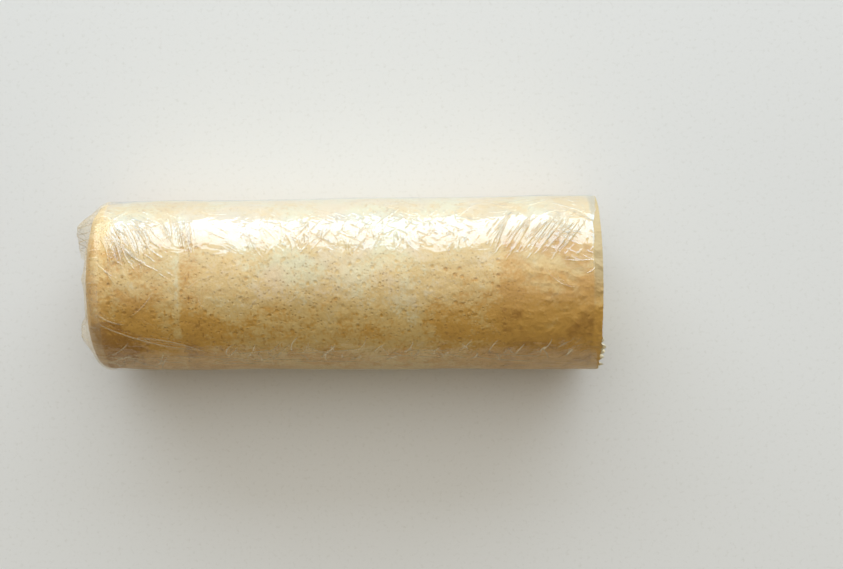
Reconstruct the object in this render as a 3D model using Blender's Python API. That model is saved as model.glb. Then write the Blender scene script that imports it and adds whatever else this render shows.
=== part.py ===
"""A savory swiss roll in cling film: a sponge sheet rolled round cream and sliced ham, its right end cut square.

The roll lies along X on its flat underside, with the cut face at +X. The origin is on the table, under its middle.
Every section across the roll is worked out in polar form: an angle from +Y towards +Z, and a radius from the
roll's axis. The filling lies in one spiral channel, and each thing in the channel is an offset from its route.
"""

import math
import random

import bmesh
import bpy
from mathutils import Vector

# The roll, in metres.
ROLL_LENGTH = 0.2545  # sponge alone, from its baked end to the cut
WIDTH_BAKED_END = 0.0872
WIDTH_CUT_END = 0.0905
AXIS_HEIGHT = 0.0398  # of the roll's axis over the table
RADIUS_UP = 0.0428  # from the axis to the top of the roll
BASE_BLEND = 0.0014  # how softly the round side meets the flat underside
LUMP = 0.00035  # height of the slow unevenness of the crust
RIM_ROUND = 0.0080  # rounding of the baked end's rim
SHEET_ROUND = 0.0035  # rounding of the sponge sheet's own baked edge

# What keeps neighbouring pieces apart, and the stand-in wall of the film.
GAP = 0.0003
FILM_WALL = 0.0004
FILM_STANDS_OFF = 0.0074  # of its tallest fold, over the baked end
FILM_BARE = 0.0040  # crust left bare between the film's edge and the cut

# The filling's route, from the seam inwards: angle in degrees, and radius and cream thickness in metres.
ROUTE = (
    (285, 0.0475, 0.0002),
    (266, 0.0304, 0.0003),
    (248, 0.0253, 0.0004),
    (219, 0.0232, 0.0008),
    (187, 0.0265, 0.0060),
    (151, 0.0262, 0.0036),
    (100, 0.0239, 0.0031),
    (58, 0.0219, 0.0031),
    (22, 0.0247, 0.0044),
    (-6, 0.0276, 0.0066),
    (-33, 0.0236, 0.0058),
    (-60, 0.0140, 0.0054),
    (-95, 0.0079, 0.0048),
    (-165, 0.0074, 0.0036),
    (-232, 0.0112, 0.0024),
)
ROUTE_STEP = 5.0  # degrees between the points of a wall
ROUTE_START, ROUTE_END = ROUTE[0][0], ROUTE[-1][0]

# Ham slices from the innermost out: where each begins and ends along the route, in degrees.
HAM_SLICE = 0.0018
HAM_RANGES = {"ham_inner": (122, -164), "ham_middle": (214, -66), "ham_outer": (273, -152)}
HAM_MAKE_ROOM = 14.0  # degrees over which the other slices give way to one that begins
# Air between the layers: which slice it lies inside of, at what angle, how far to each side, and how wide.
AIR = (
    ("ham_inner", -20, 16, 0.0013),
    ("ham_inner", 104, 12, 0.0009),
    ("ham_middle", -34, 10, 0.0004),
    ("ham_outer", 2, 18, 0.0010),
    ("ham_outer", 138, 13, 0.0008),
    ("ham_outer", 206, 16, 0.0010),
)

# The pocket of cream at the roll's heart: a lining on its inner wall and an air slot between.
POCKET_FROM = -164.0
POCKET_DEPTH = 0.0042
POCKET_SLOT = 0.0012
POCKET_END = 0.0024  # how far the channel's closed end bulges on
CREAM_FROM = 214.0
FILLING_RECESS = 0.0024  # of the cream and ham behind the baked end

# Chopped pieces in the cream that show on the cut face.
BIT_COUNT = 15
BITS_FROM, BITS_TO = 196.0, -130.0
BIT_RADII = (0.0010, 0.0017)
BIT_SHOWS = 0.0006
BIT_SEED = 11

# How finely the roll is divided.
SKIN_STEPS = 48
SECTION_SPACING = 0.0105
RIM_DEPTHS = (0.0, 0.0010, 0.0030, 0.0056)

# The film's folds over the baked end: at what angle, how many degrees to each side, and how high.
FOLDS = (
    (31, 18, 0.0066),
    (84, 15, 0.0016),
    (138, 20, 0.0038),
    (206, 20, 0.0026),
    (262, 15, 0.0014),
    (322, 18, 0.0022),
)
PLEATS = 12
PLEAT_DEPTH = 0.0010
EDGE_WAVE = 0.0004  # of the film's open edge

CUT_END = (ROLL_LENGTH + FILM_STANDS_OFF) / 2
BAKED_END = CUT_END - ROLL_LENGTH

COLOURS = {
    "sponge": ((0.72, 0.50, 0.22), 0.75),
    "cream_filling": ((0.88, 0.85, 0.78), 0.45),
    "ham": ((0.76, 0.46, 0.47), 0.40),
    "cling_film": ((0.90, 0.92, 0.92), 0.12),
}


def smoothstep(value, low, high):
    """0 below low, 1 above high, and a smooth rise between; low may be above high."""
    share = min(1.0, max(0.0, (value - low) / (high - low)))
    return share * share * (3 - 2 * share)


def soft_min(a, b, blend):
    """The smaller of a and b, rounded off where they are within blend of each other."""
    near = max(blend - abs(a - b), 0.0) / blend
    return min(a, b) - near * near * blend / 4


def lumps(angle, x):
    """Slow unevenness of the crust, in metres."""
    long_wave = math.sin(2 * math.pi * x / 0.096 + 2 * angle + 0.8)
    short_wave = math.sin(2 * math.pi * x / 0.047 - 3 * angle)
    return LUMP * (0.65 * long_wave + 0.35 * short_wave)


def skin_radius(angle, x, inset):
    """Radius of the roll's outer surface, inset from the film's outside, at an angle in radians."""
    along = (x - BAKED_END) / ROLL_LENGTH
    across = (WIDTH_BAKED_END + (WIDTH_CUT_END - WIDTH_BAKED_END) * along) / 2 - inset
    up = RADIUS_UP - inset
    round_side = across * up / math.hypot(up * math.cos(angle), across * math.sin(angle))
    radius = round_side + lumps(angle, x)
    if math.sin(angle) < -0.1:
        flat_side = (AXIS_HEIGHT - inset) / -math.sin(angle)
        radius = soft_min(radius, flat_side, BASE_BLEND)
    return radius


def rounded(depth, radius):
    """How far an edge of this rounding draws back, at a depth from the end it rounds."""
    left = max(radius - depth, 0.0)
    return radius - math.sqrt(radius * radius - left * left)


def placed(angle, radius, x):
    """The point at an angle in radians and a radius from the roll's axis, in the part's frame."""
    return Vector((x, radius * math.cos(angle), AXIS_HEIGHT + radius * math.sin(angle)))


def along_route(degrees, column):
    """One column of ROUTE at any angle, on a smooth curve through its rows."""
    last = len(ROUTE) - 1
    row = next((i for i in range(last) if degrees >= ROUTE[i + 1][0]), last - 1)
    a, b = ROUTE[row], ROUTE[row + 1]
    before, after = ROUTE[max(row - 1, 0)], ROUTE[min(row + 2, last)]
    span = b[0] - a[0]
    slope_a = (b[column] - before[column]) / (b[0] - before[0]) * span
    slope_b = (after[column] - a[column]) / (after[0] - a[0]) * span
    t = (degrees - a[0]) / span
    return (
        (2 * t**3 - 3 * t**2 + 1) * a[column]
        + (t**3 - 2 * t**2 + t) * slope_a
        + (3 * t**2 - 2 * t**3) * b[column]
        + (t**3 - t**2) * slope_b
    )


def route_point(degrees):
    """The route's point at an angle, in the section's own plane, measured from the roll's axis."""
    angle, radius = math.radians(degrees), along_route(degrees, 1)
    return Vector((radius * math.cos(angle), radius * math.sin(angle)))


def route_offset(degrees, offset):
    """The point beside the route, offset outwards, square to it."""
    step = 0.5
    ahead = route_point(max(degrees - step, ROUTE_END - step))
    behind = route_point(min(degrees + step, ROUTE_START))
    heading = (ahead - behind).normalized()
    return route_point(degrees) + offset * Vector((-heading.y, heading.x))


def presence(degrees, name):
    """From 0 to 1: how much room a slice takes at an angle, which its neighbours make before it begins."""
    first, last = HAM_RANGES[name]
    begins = smoothstep(degrees, first + HAM_MAKE_ROOM, first)
    ends = smoothstep(degrees, last - HAM_MAKE_ROOM, last)
    return min(begins, ends)


def air(degrees, name):
    """Width of the open air just inside a slice."""
    found = 0.0
    for inside_of, centre, reach, width in AIR:
        if inside_of == name:
            found += width * smoothstep(abs(degrees - centre), reach, 0)
    return found


def stack(degrees):
    """Offsets of the ham in the channel: the stack's two faces, and each slice's inner face."""
    room = {name: presence(degrees, name) * (HAM_SLICE + GAP) for name in HAM_RANGES}
    airs = {name: air(degrees, name) for name in HAM_RANGES}
    total = sum(room.values()) + sum(airs.values()) + GAP
    face, faces = -total / 2 + GAP, {}
    for name in HAM_RANGES:
        face += airs[name]
        faces[name] = face
        face += room[name]
    return -total / 2, total / 2, faces


def pocket(degrees):
    """From 0 to 1: how far the pocket at the roll's heart has opened at an angle."""
    return smoothstep(degrees, POCKET_FROM + 6, POCKET_FROM - 16)


def inner_wall(degrees):
    """Offset of the channel's inner wall, which is the brown underside of the turn inside it."""
    inner, _, _ = stack(degrees)
    return inner + (-POCKET_DEPTH - inner) * pocket(degrees)


def outer_wall(degrees):
    """Offset of the channel's outer wall, which the cream is spread on."""
    _, outer, _ = stack(degrees)
    return outer + along_route(degrees, 2) + GAP


def wall(offset_at, first, last, widen=0.0):
    """Points beside the route from one angle to another, at the offset that offset_at gives."""
    steps = max(1, round(abs(last - first) / ROUTE_STEP))
    angles = [first + (last - first) * i / steps for i in range(steps + 1)]
    return [route_offset(a, offset_at(a) + widen) for a in angles]


def crossing(offset_at, widen, x, inset):
    """The angle along the route at which a wall comes in through the sponge's skin."""
    outside, inside = float(ROUTE_START), ROUTE_START - 60.0
    for _ in range(30):
        middle = (outside + inside) / 2
        point = route_offset(middle, offset_at(middle) + widen)
        at = math.atan2(point.y, point.x)
        if point.length > skin_radius(at, x, inset):
            outside = middle
        else:
            inside = middle
    return inside


def fixed_wall(offset_at, widen, x, inset):
    """A wall from the skin to the channel's end, always of the same number of points."""
    first = crossing(offset_at, widen, x, inset)
    steps = round((ROUTE_START - ROUTE_END) / ROUTE_STEP)
    angles = [first + (ROUTE_END - first) * i / steps for i in range(steps + 1)]
    return [route_offset(a, offset_at(a) + widen) for a in angles]


def round_end(start, end, bulge, count=4):
    """Points that turn from start to end round a half oval, bulge deep, in the direction of the route's end."""
    heading = (route_point(ROUTE_END) - route_point(ROUTE_END + 1)).normalized()
    middle, half = (start + end) / 2, (start - end) / 2
    turns = [math.pi * i / (count + 1) for i in range(1, count + 1)]
    return [middle + half * math.cos(t) + heading * bulge * math.sin(t) for t in turns]


def sponge_section(x):
    """The sponge's outline at x: round the skin, then in along one wall of the channel and out along the other."""
    depth = x - BAKED_END
    inset = FILM_WALL + GAP + rounded(depth, RIM_ROUND)
    widen = rounded(depth, SHEET_ROUND)
    outer = fixed_wall(outer_wall, widen, x, inset)
    inner = fixed_wall(inner_wall, -widen, x, inset)
    from_angle = math.atan2(inner[0].y, inner[0].x)
    to_angle = math.atan2(outer[0].y, outer[0].x) + 2 * math.pi
    skin = []
    for i in range(1, SKIN_STEPS):
        angle = from_angle + (to_angle - from_angle) * i / SKIN_STEPS
        radius = skin_radius(angle, x, inset)
        skin.append(Vector((radius * math.cos(angle), radius * math.sin(angle))))
    end = round_end(outer[-1], inner[-1], POCKET_END + widen)
    return skin + outer + end + inner[::-1]


def sections(first, last):
    """Places along X from first to last, no further apart than SECTION_SPACING."""
    count = math.ceil((last - first) / SECTION_SPACING)
    return [first + (last - first) * i / count for i in range(count + 1)]


def in_part(outline, x):
    """A section's outline as points of the part."""
    return [Vector((x, p.x, AXIS_HEIGHT + p.y)) for p in outline]


def loft(rings):
    """A closed mesh through rings of equally many points, with a face across the first and the last."""
    bm = bmesh.new()
    rows = [[bm.verts.new(point) for point in ring] for ring in rings]
    for row, following in zip(rows, rows[1:]):
        for i in range(len(row)):
            bm.faces.new((row[i - 1], row[i], following[i], following[i - 1]))
    bm.faces.new(rows[0])
    bm.faces.new(rows[-1])
    bmesh.ops.recalc_face_normals(bm, faces=bm.faces)
    return bm


def simplified(bm):
    """Merges faces that lie in one plane, such as a straight channel's walls, and leaves triangles."""
    bmesh.ops.dissolve_limit(bm, angle_limit=math.radians(0.05), verts=bm.verts, edges=bm.edges)
    bmesh.ops.triangulate(bm, faces=bm.faces)
    return bm


def material(slot):
    """The slot's Principled material, made once."""
    found = bpy.data.materials.get(slot)
    if found:
        return found
    colour, roughness = COLOURS[slot]
    made = bpy.data.materials.new(slot)
    made.use_nodes = True
    shader = made.node_tree.nodes["Principled BSDF"]
    shader.inputs["Base Color"].default_value = (*colour, 1)
    shader.inputs["Roughness"].default_value = roughness
    return made


def add_object(name, bm, slot):
    """A new object of this mesh and material, linked to the scene."""
    mesh = bpy.data.meshes.new(name)
    bm.to_mesh(mesh)
    bm.free()
    mesh.materials.append(material(slot))
    made = bpy.data.objects.new(name, mesh)
    bpy.context.scene.collection.objects.link(made)
    return made


def add_sponge():
    """The rolled sponge: one solid with a spiral channel, rounded at the baked end and square at the cut."""
    places = [BAKED_END + depth for depth in RIM_DEPTHS] + sections(BAKED_END + RIM_ROUND, CUT_END)
    bm = simplified(loft([in_part(sponge_section(x), x) for x in places]))
    add_object("sponge", bm, "sponge")


def add_strip(name, outline, slot):
    """A layer of the filling: its outline run straight from the baked end to the cut."""
    ends = (BAKED_END + FILLING_RECESS, CUT_END)
    return add_object(name, simplified(loft([in_part(outline, x) for x in ends])), slot)


def add_ham():
    """The ham slices, each one strip in the spiral."""
    for name, (first, last) in HAM_RANGES.items():
        inner = wall(lambda a: stack(a)[2][name], first, last)
        outer = wall(lambda a: stack(a)[2][name] + HAM_SLICE, first, last)
        add_strip(name, inner + outer[::-1], "ham")


def cream_outline():
    """The cream: a strip between ham and sponge that ends as a lining round the pocket's air slot."""
    ham_end = min(last for _, last in HAM_RANGES.values())
    slot_from, slot_to = ham_end - 8, ROUTE_END + 12
    on_sponge = wall(lambda a: outer_wall(a) - GAP, CREAM_FROM, ROUTE_END + 2)
    lining = wall(lambda a: inner_wall(a) + GAP, ROUTE_END + 2, slot_from - 14)
    slot_inner = wall(lambda a: -POCKET_SLOT / 2, slot_from - 14, slot_to)
    slot_outer = wall(lambda a: POCKET_SLOT / 2, slot_to, slot_from - 14)
    on_ham = wall(lambda a: stack(a)[1] + GAP, slot_from - 14 + ROUTE_STEP, CREAM_FROM)
    heart = round_end(on_sponge[-1], lining[0], 0.0014)
    return on_sponge + heart + lining + slot_inner + slot_outer + on_ham


def cream_bits():
    """Chopped pieces set in the cream where it is thick enough, half sunk in the cut face."""
    draw = random.Random(BIT_SEED)
    made = []
    for i in range(BIT_COUNT):
        degrees = BITS_FROM + (BITS_TO - BITS_FROM) * (i + 0.6 * draw.random()) / BIT_COUNT
        thickness = along_route(degrees, 2)
        radius = min(BIT_RADII[0] + (BIT_RADII[1] - BIT_RADII[0]) * draw.random(), 0.42 * thickness)
        offset = stack(degrees)[1] + GAP + thickness * (0.45 + 0.1 * draw.random())
        bm = bmesh.new()
        bmesh.ops.create_icosphere(bm, subdivisions=1, radius=radius)
        turned = [draw.uniform(0, math.pi) for _ in range(3)]
        bit = add_object(f"bit_{i}", bm, "cream_filling")
        at = route_offset(degrees, offset)
        bit.location = (CUT_END + BIT_SHOWS - radius, at.x, AXIS_HEIGHT + at.y)
        bit.rotation_euler = turned
        made.append(bit)
    return made


def add_cream():
    """The cream with its chopped pieces fused on, by one union that is applied."""
    cream = add_strip("cream_filling", cream_outline(), "cream_filling")
    bits = bpy.data.collections.new("bits")
    bpy.context.scene.collection.children.link(bits)
    for bit in cream_bits():
        bits.objects.link(bit)
    union = cream.modifiers.new("bits", "BOOLEAN")
    union.operation = "UNION"
    union.operand_type = "COLLECTION"
    union.collection = bits
    with bpy.context.temp_override(object=cream, active_object=cream):
        bpy.ops.object.modifier_apply(modifier=union.name)
    for bit in list(bits.objects):
        bpy.data.objects.remove(bit)
    bpy.data.collections.remove(bits)


def film_edge(angle):
    """Where along X the film's open edge runs: nearest the cut at the roll's sides, and wavy."""
    bare = FILM_BARE * (0.75 + 0.25 * math.sin(angle)) + EDGE_WAVE * math.sin(5 * angle + 1.0)
    return CUT_END - bare


def film_ring(x, inset):
    """A ring of the film round the roll, on its outside or on its inside."""
    angles = [2 * math.pi * i / SKIN_STEPS for i in range(SKIN_STEPS)]
    return [placed(a, skin_radius(a, x, inset), x) for a in angles]


def film_edge_ring(inset):
    """The ring of the film's open edge."""
    angles = [2 * math.pi * i / SKIN_STEPS for i in range(SKIN_STEPS)]
    return [placed(a, skin_radius(a, film_edge(a), inset), film_edge(a)) for a in angles]


def folds(angle, share):
    """How far the film's folds stand off the baked end, at a share of the end's radius."""
    spread = smoothstep(share, 0.12, 0.5) * smoothstep(share, 1.25, 0.9)
    found = 0.0
    for at, reach, height in FOLDS:
        away = abs((math.degrees(angle) - at + 180) % 360 - 180)
        found += height * smoothstep(away, reach, 0)
    pleats = PLEAT_DEPTH * (0.5 + 0.5 * math.cos(PLEATS * angle)) * smoothstep(share, 1.1, 0.5)
    return found * spread + pleats


def film_end_ring(share, inset):
    """A ring of the film drawn in over the baked end, at a share of the end's radius."""
    points = []
    for i in range(SKIN_STEPS):
        angle = 2 * math.pi * i / SKIN_STEPS
        radius = share * (skin_radius(angle, BAKED_END, 0) - RIM_ROUND)
        x = BAKED_END - GAP - FILM_WALL + inset - folds(angle, share)
        points.append(placed(angle, radius, x))
    return points


def film_rim_ring(turn, inset):
    """A ring of the film on its way round the baked end's rim, turned this many degrees."""
    t = math.radians(turn)
    x = BAKED_END + RIM_ROUND - (RIM_ROUND + GAP + FILM_WALL - inset) * math.sin(t)
    drawn_in = inset + RIM_ROUND * (1 - math.cos(t))
    points = film_ring(x, drawn_in)
    for i, point in enumerate(points):
        angle = 2 * math.pi * i / SKIN_STEPS
        point.x -= folds(angle, 1.25 - 0.2 * turn / 60) * math.sin(t)
    return points


def film_side(inset):
    """Rings of one side of the film, from its open edge to the middle of the baked end."""
    places = sections(BAKED_END + RIM_ROUND, CUT_END - FILM_BARE - SECTION_SPACING / 2)
    rings = [film_edge_ring(inset)] + [film_ring(x, inset) for x in reversed(places)]
    rings += [film_rim_ring(turn, inset) for turn in (30, 60)]
    rings += [film_end_ring(share, inset) for share in (1.0, 0.7, 0.4, 0.12)]
    return rings


def add_film():
    """The cling film as a thin cup: its outside from the baked end to the open edge, then its inside back."""
    outside, inside = film_side(0.0), film_side(FILM_WALL)
    bm = simplified(loft(outside[::-1] + inside))
    add_object("cling_film", bm, "cling_film")


def main():
    """Clears the scene and builds the roll."""
    for obj in list(bpy.data.objects):
        bpy.data.objects.remove(obj)
    add_sponge()
    add_ham()
    add_cream()
    add_film()


main()
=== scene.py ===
"""Looks of a savory swiss roll in cling film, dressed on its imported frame.

The roll lies along X with its cut face at +X. Angles round it run from +Y over the top (+Z) and are measured
about the axis through the middle of the film's box. The window stands at +Y.
"""

import logging
import math
import random
from collections.abc import Callable, Iterator
from contextlib import contextmanager
from dataclasses import dataclass, field
from enum import Enum

import bmesh
import bpy
import numpy as np
from mathutils import Matrix, Vector, noise
from mathutils.bvhtree import BVHTree

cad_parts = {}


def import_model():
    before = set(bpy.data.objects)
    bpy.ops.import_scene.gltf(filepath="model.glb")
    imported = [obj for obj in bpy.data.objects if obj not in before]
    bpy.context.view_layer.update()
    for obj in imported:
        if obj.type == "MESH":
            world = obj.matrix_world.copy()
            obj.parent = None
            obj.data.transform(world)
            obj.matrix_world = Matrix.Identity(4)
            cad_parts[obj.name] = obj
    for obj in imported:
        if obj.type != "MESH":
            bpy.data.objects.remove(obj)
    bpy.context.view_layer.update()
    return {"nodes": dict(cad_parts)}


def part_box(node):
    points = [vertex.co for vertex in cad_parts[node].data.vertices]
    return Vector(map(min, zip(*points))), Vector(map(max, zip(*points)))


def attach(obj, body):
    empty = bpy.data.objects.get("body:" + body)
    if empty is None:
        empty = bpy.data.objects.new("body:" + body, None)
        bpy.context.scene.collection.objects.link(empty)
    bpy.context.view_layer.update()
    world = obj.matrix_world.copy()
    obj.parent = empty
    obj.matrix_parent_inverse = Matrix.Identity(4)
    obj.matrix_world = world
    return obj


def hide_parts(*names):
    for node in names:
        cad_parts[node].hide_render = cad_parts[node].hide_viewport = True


LOG = logging.getLogger("swiss_roll")
SHEET_RADIUS = 0.0437  # turns an angle round the roll into a length over its skin, in metres
WELD = 2e-6  # corners nearer than this are one, in metres
MM = 1000  # millimetres in a metre

Span = tuple[float, float]
Colour = tuple[float, float, float]
Socket = bpy.types.NodeSocket


class Node(Enum):
    """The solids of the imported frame."""

    SPONGE = "sponge"
    CREAM = "cream_filling"
    HAM_INNER = "ham_inner"
    HAM_MIDDLE = "ham_middle"
    HAM_OUTER = "ham_outer"
    FILM = "cling_film"


class Slot(Enum):
    """The record's material slots."""

    SPONGE = "sponge"
    CREAM = "cream_filling"
    HAM = "ham"
    FILM = "cling_film"


# ---------------------------------------------------------------- numbers at many points


def smoothstep(value: np.ndarray, low: float, high: float) -> np.ndarray:
    """Smooth rise from 0 at low to 1 at high; low may be the greater of the two."""
    share = np.clip((value - low) / (high - low), 0.0, 1.0)
    return share * share * (3 - 2 * share)


def degrees(angle: np.ndarray) -> np.ndarray:
    """Angles in radians as degrees from 0 to 360."""
    return np.degrees(np.mod(angle, 2 * math.pi))


def behind(turn: np.ndarray) -> np.ndarray:
    """Carries a form of the upper back on below the back's middle: 1 from 348 degrees, none by 306."""
    return smoothstep(turn, 306, 348)


def round_arc(turn: np.ndarray) -> np.ndarray:
    """Length round the roll from the back's middle, in metres; it jumps only under the roll."""
    return np.radians(np.where(turn > 270, turn - 360, turn)) * SHEET_RADIUS


def smooth_noise(points: np.ndarray, size: float, shift: float = 0.0) -> np.ndarray:
    """Slow noise from -1 to 1 at rows of three, in waves about size long; shift moves to another part."""
    return np.array([noise.noise(Vector(p)) for p in points / size + shift])


def cell_distance(points: np.ndarray, size: float, shift: float = 0.0) -> np.ndarray:
    """Distance from rows of three to the nearest middle of an uneven cell, as a share of the cell's size."""
    return np.array([noise.voronoi(Vector(p))[0][0] for p in points / size + shift])


# ---------------------------------------------------------------- meshes


def read_points(mesh: bpy.types.Mesh) -> np.ndarray:
    """A mesh's vertices as rows of three."""
    flat = np.empty(len(mesh.vertices) * 3, np.float32)
    mesh.vertices.foreach_get("co", flat)
    return flat.reshape(-1, 3).astype(np.float64)


def read_normals(mesh: bpy.types.Mesh) -> np.ndarray:
    """A mesh's vertex normals as rows of three."""
    flat = np.empty(len(mesh.vertices) * 3, np.float32)
    mesh.vertex_normals.foreach_get("vector", flat)
    return flat.reshape(-1, 3).astype(np.float64)


def write_points(mesh: bpy.types.Mesh, points: np.ndarray) -> None:
    """Moves a mesh's vertices to these rows of three."""
    mesh.vertices.foreach_set("co", points.astype(np.float32).ravel())
    mesh.update()


def write_values(mesh: bpy.types.Mesh, name: str, values: np.ndarray) -> None:
    """Keeps one number per vertex under a name that a material can read."""
    layer = mesh.attributes.new(name, "FLOAT", "POINT")
    layer.data.foreach_set("value", values.astype(np.float32))


@contextmanager
def edited(mesh: bpy.types.Mesh) -> Iterator[bmesh.types.BMesh]:
    """Opens a mesh for bmesh's tools and writes the result back.

    Args:
        mesh: The mesh, which is changed.

    Yields:
        Its form in bmesh.
    """
    bm = bmesh.new()
    bm.from_mesh(mesh)
    yield bm
    bm.to_mesh(mesh)
    bm.free()


def merged_copy(node: bpy.types.Object) -> bmesh.types.BMesh:
    """A copy of a solid's mesh with its loose triangles joined at their corners.

    Args:
        node: The solid.

    Returns:
        The copy.
    """
    bm = bmesh.new()
    bm.from_mesh(node.data)
    bmesh.ops.remove_doubles(bm, verts=bm.verts, dist=WELD)
    return bm


def search_tree(bm: bmesh.types.BMesh, drop: Callable[[bmesh.types.BMFace], bool]) -> BVHTree:
    """A tree to search a mesh by.

    Args:
        bm: The mesh, which is used up.
        drop: Says which of its faces are left out.

    Returns:
        The tree.
    """
    bmesh.ops.delete(bm, geom=[face for face in bm.faces if drop(face)], context="FACES")
    tree = BVHTree.FromBMesh(bm)
    bm.free()
    return tree


def keep_between(bm: bmesh.types.BMesh, first: float, last: float) -> None:
    """Cuts a solid to a stretch along X and closes its two new ends.

    Args:
        bm: The solid, which is changed.
        first: Where the stretch begins.
        last: Where it ends.
    """
    for place, facing in ((first, -1.0), (last, 1.0)):
        geometry = bm.verts[:] + bm.edges[:] + bm.faces[:]
        plane = {"plane_co": (place, 0, 0), "plane_no": (facing, 0, 0)}
        bmesh.ops.bisect_plane(bm, geom=geometry, clear_outer=True, **plane)
        rims = [edge for edge in bm.edges if edge.is_boundary]
        if rims:
            bmesh.ops.holes_fill(bm, edges=rims, sides=0)
    bmesh.ops.triangulate(bm, faces=bm.faces)
    for edge in bm.edges:
        edge.smooth = sum(abs(face.normal.x) > 0.999 for face in edge.link_faces) != 1


def new_piece(name: str, bm: bmesh.types.BMesh) -> bpy.types.Object:
    """A smooth-shaded object at the origin.

    Args:
        name: Its name.
        bm: Its mesh, which is used up.

    Returns:
        The object.
    """
    mesh = bpy.data.meshes.new(name)
    bm.to_mesh(mesh)
    bm.free()
    mesh.shade_smooth()
    piece = bpy.data.objects.new(name, mesh)
    bpy.context.scene.collection.objects.link(piece)
    return piece


def remeshed(name: str, bm: bmesh.types.BMesh, voxel: float) -> bpy.types.Object:
    """An evenly meshed object of a closed solid.

    Args:
        name: The object's name.
        bm: The solid, which is used up.
        voxel: Size of the new faces, in metres.

    Returns:
        The new object.
    """
    piece = new_piece(name, bm)
    even = piece.modifiers.new("even", "REMESH")
    even.mode = "VOXEL"
    even.voxel_size = voxel
    depsgraph = bpy.context.evaluated_depsgraph_get()
    mesh = bpy.data.meshes.new_from_object(piece.evaluated_get(depsgraph))
    old = piece.data
    piece.modifiers.clear()
    piece.data = mesh
    bpy.data.meshes.remove(old)
    mesh.name = name
    return piece


def smooth_across(piece: bpy.types.Object, rounds: int, stays: np.ndarray | None = None) -> None:
    """Smooths a piece in Y and Z only, so that its ends stay flat.

    Args:
        piece: The piece, which is changed.
        rounds: How many times each vertex moves to its neighbours' middle.
        stays: True for each vertex that doesn't move, if any.
    """
    with edited(piece.data) as bm:
        moving = [vert for vert in bm.verts if stays is None or not stays[vert.index]]
        for _ in range(rounds):
            bmesh.ops.smooth_vert(bm, verts=moving, factor=0.5, use_axis_y=True, use_axis_z=True)


def join(name: str, pieces: list[bpy.types.Object]) -> bpy.types.Object:
    """One object of several.

    Args:
        name: Its name.
        pieces: The several, which are used up.

    Returns:
        The object.
    """
    bm = bmesh.new()
    for piece in pieces:
        mesh = piece.data
        bm.from_mesh(mesh)
        bpy.data.objects.remove(piece)
        bpy.data.meshes.remove(mesh)
    return new_piece(name, bm)


# ---------------------------------------------------------------- the roll's own measures


@dataclass(frozen=True)
class Axis:
    """The line along X that angles and radii are measured about."""

    y: float
    z: float

    def polar(self, points: np.ndarray) -> tuple[np.ndarray, np.ndarray]:
        """Angle in radians and radius of each point."""
        across, up = points[:, 1] - self.y, points[:, 2] - self.z
        return np.arctan2(up, across), np.hypot(across, up)

    def place(self, angle: np.ndarray, radius: np.ndarray, x: np.ndarray) -> np.ndarray:
        """Points as rows of three, from angles in radians, radii and places along X."""
        return np.stack([x, self.y + radius * np.cos(angle), self.z + radius * np.sin(angle)], axis=1)


class SkinMap:
    """Smooth radius of a solid's outside, by angle and place along X."""

    ANGLES = 144
    PLACES = 56
    CAST_FROM = 0.09
    CREVICE = 0.0018

    def __init__(self, node: bpy.types.Object, axis: Axis, first: float, last: float) -> None:
        """Measures the solid by rays cast at it from outside.

        Args:
            node: The solid.
            axis: The roll's axis.
            first: Least X at which it is measured.
            last: Greatest X at which it is measured.
        """
        self.first, self.last = first, last
        bm = merged_copy(node)
        tree = BVHTree.FromBMesh(bm)
        bm.free()
        rows = np.empty((self.ANGLES, self.PLACES))
        for i in range(self.ANGLES):
            angle = 2 * math.pi * i / self.ANGLES
            inward = Vector((0, -math.cos(angle), -math.sin(angle)))
            for j in range(self.PLACES):
                x = first + (last - first) * j / (self.PLACES - 1)
                start = Vector((x, axis.y, axis.z)) - self.CAST_FROM * inward
                rows[i, j] = self.CAST_FROM - tree.ray_cast(start, inward)[3]
        self.rows = self._evened(rows)

    def _evened(self, rows: np.ndarray) -> np.ndarray:
        """Bridges the seam's crevice and rounds off the solid's facets.

        Args:
            rows: Measured radii, a row for each angle.

        Returns:
            The smooth radii.
        """
        around = np.max([np.roll(rows, step, axis=0) for step in range(-4, 5)], axis=0)
        bad = rows < around - self.CREVICE
        for j in range(self.PLACES):
            good = np.flatnonzero(~bad[:, j])
            rows[:, j] = np.interp(np.arange(self.ANGLES), good, rows[good, j], period=self.ANGLES)
        for _ in range(3):
            rows = (np.roll(rows, 1, axis=0) + 2 * rows + np.roll(rows, -1, axis=0)) / 4
            padded = np.pad(rows, ((0, 0), (1, 1)), mode="edge")
            rows = (padded[:, :-2] + 2 * rows + padded[:, 2:]) / 4
        return rows

    @staticmethod
    def _curve(steps: list[np.ndarray], share: np.ndarray) -> np.ndarray:
        """A smooth curve through four even steps, at a share of the way between the middle two.

        Args:
            steps: The four values.
            share: 0 at the second to 1 at the third.

        Returns:
            Its values.
        """
        before, a, b, after = steps
        bend = 2 * before - 5 * a + 4 * b - after + share * (3 * (a - b) + after - before)
        return a + 0.5 * share * (b - before + share * bend)

    def radius(self, angle: np.ndarray, x: np.ndarray) -> np.ndarray:
        """Radius of the smooth outside.

        Args:
            angle: Angles in radians.
            x: Places along X.

        Returns:
            One radius for each.
        """
        row = np.mod(angle, 2 * math.pi) / (2 * math.pi) * self.ANGLES
        i = np.floor(row).astype(int)
        column = np.clip((x - self.first) / (self.last - self.first), 0, 1) * (self.PLACES - 1)
        j = np.minimum(np.floor(column).astype(int), self.PLACES - 2)
        found = []
        for step in range(-1, 3):
            at = np.clip(j + step, 0, self.PLACES - 1)
            four = [self.rows[(i + turn) % self.ANGLES, at] for turn in range(-1, 3)]
            found.append(self._curve(four, row - i))
        return self._curve(found, column - j)


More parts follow.
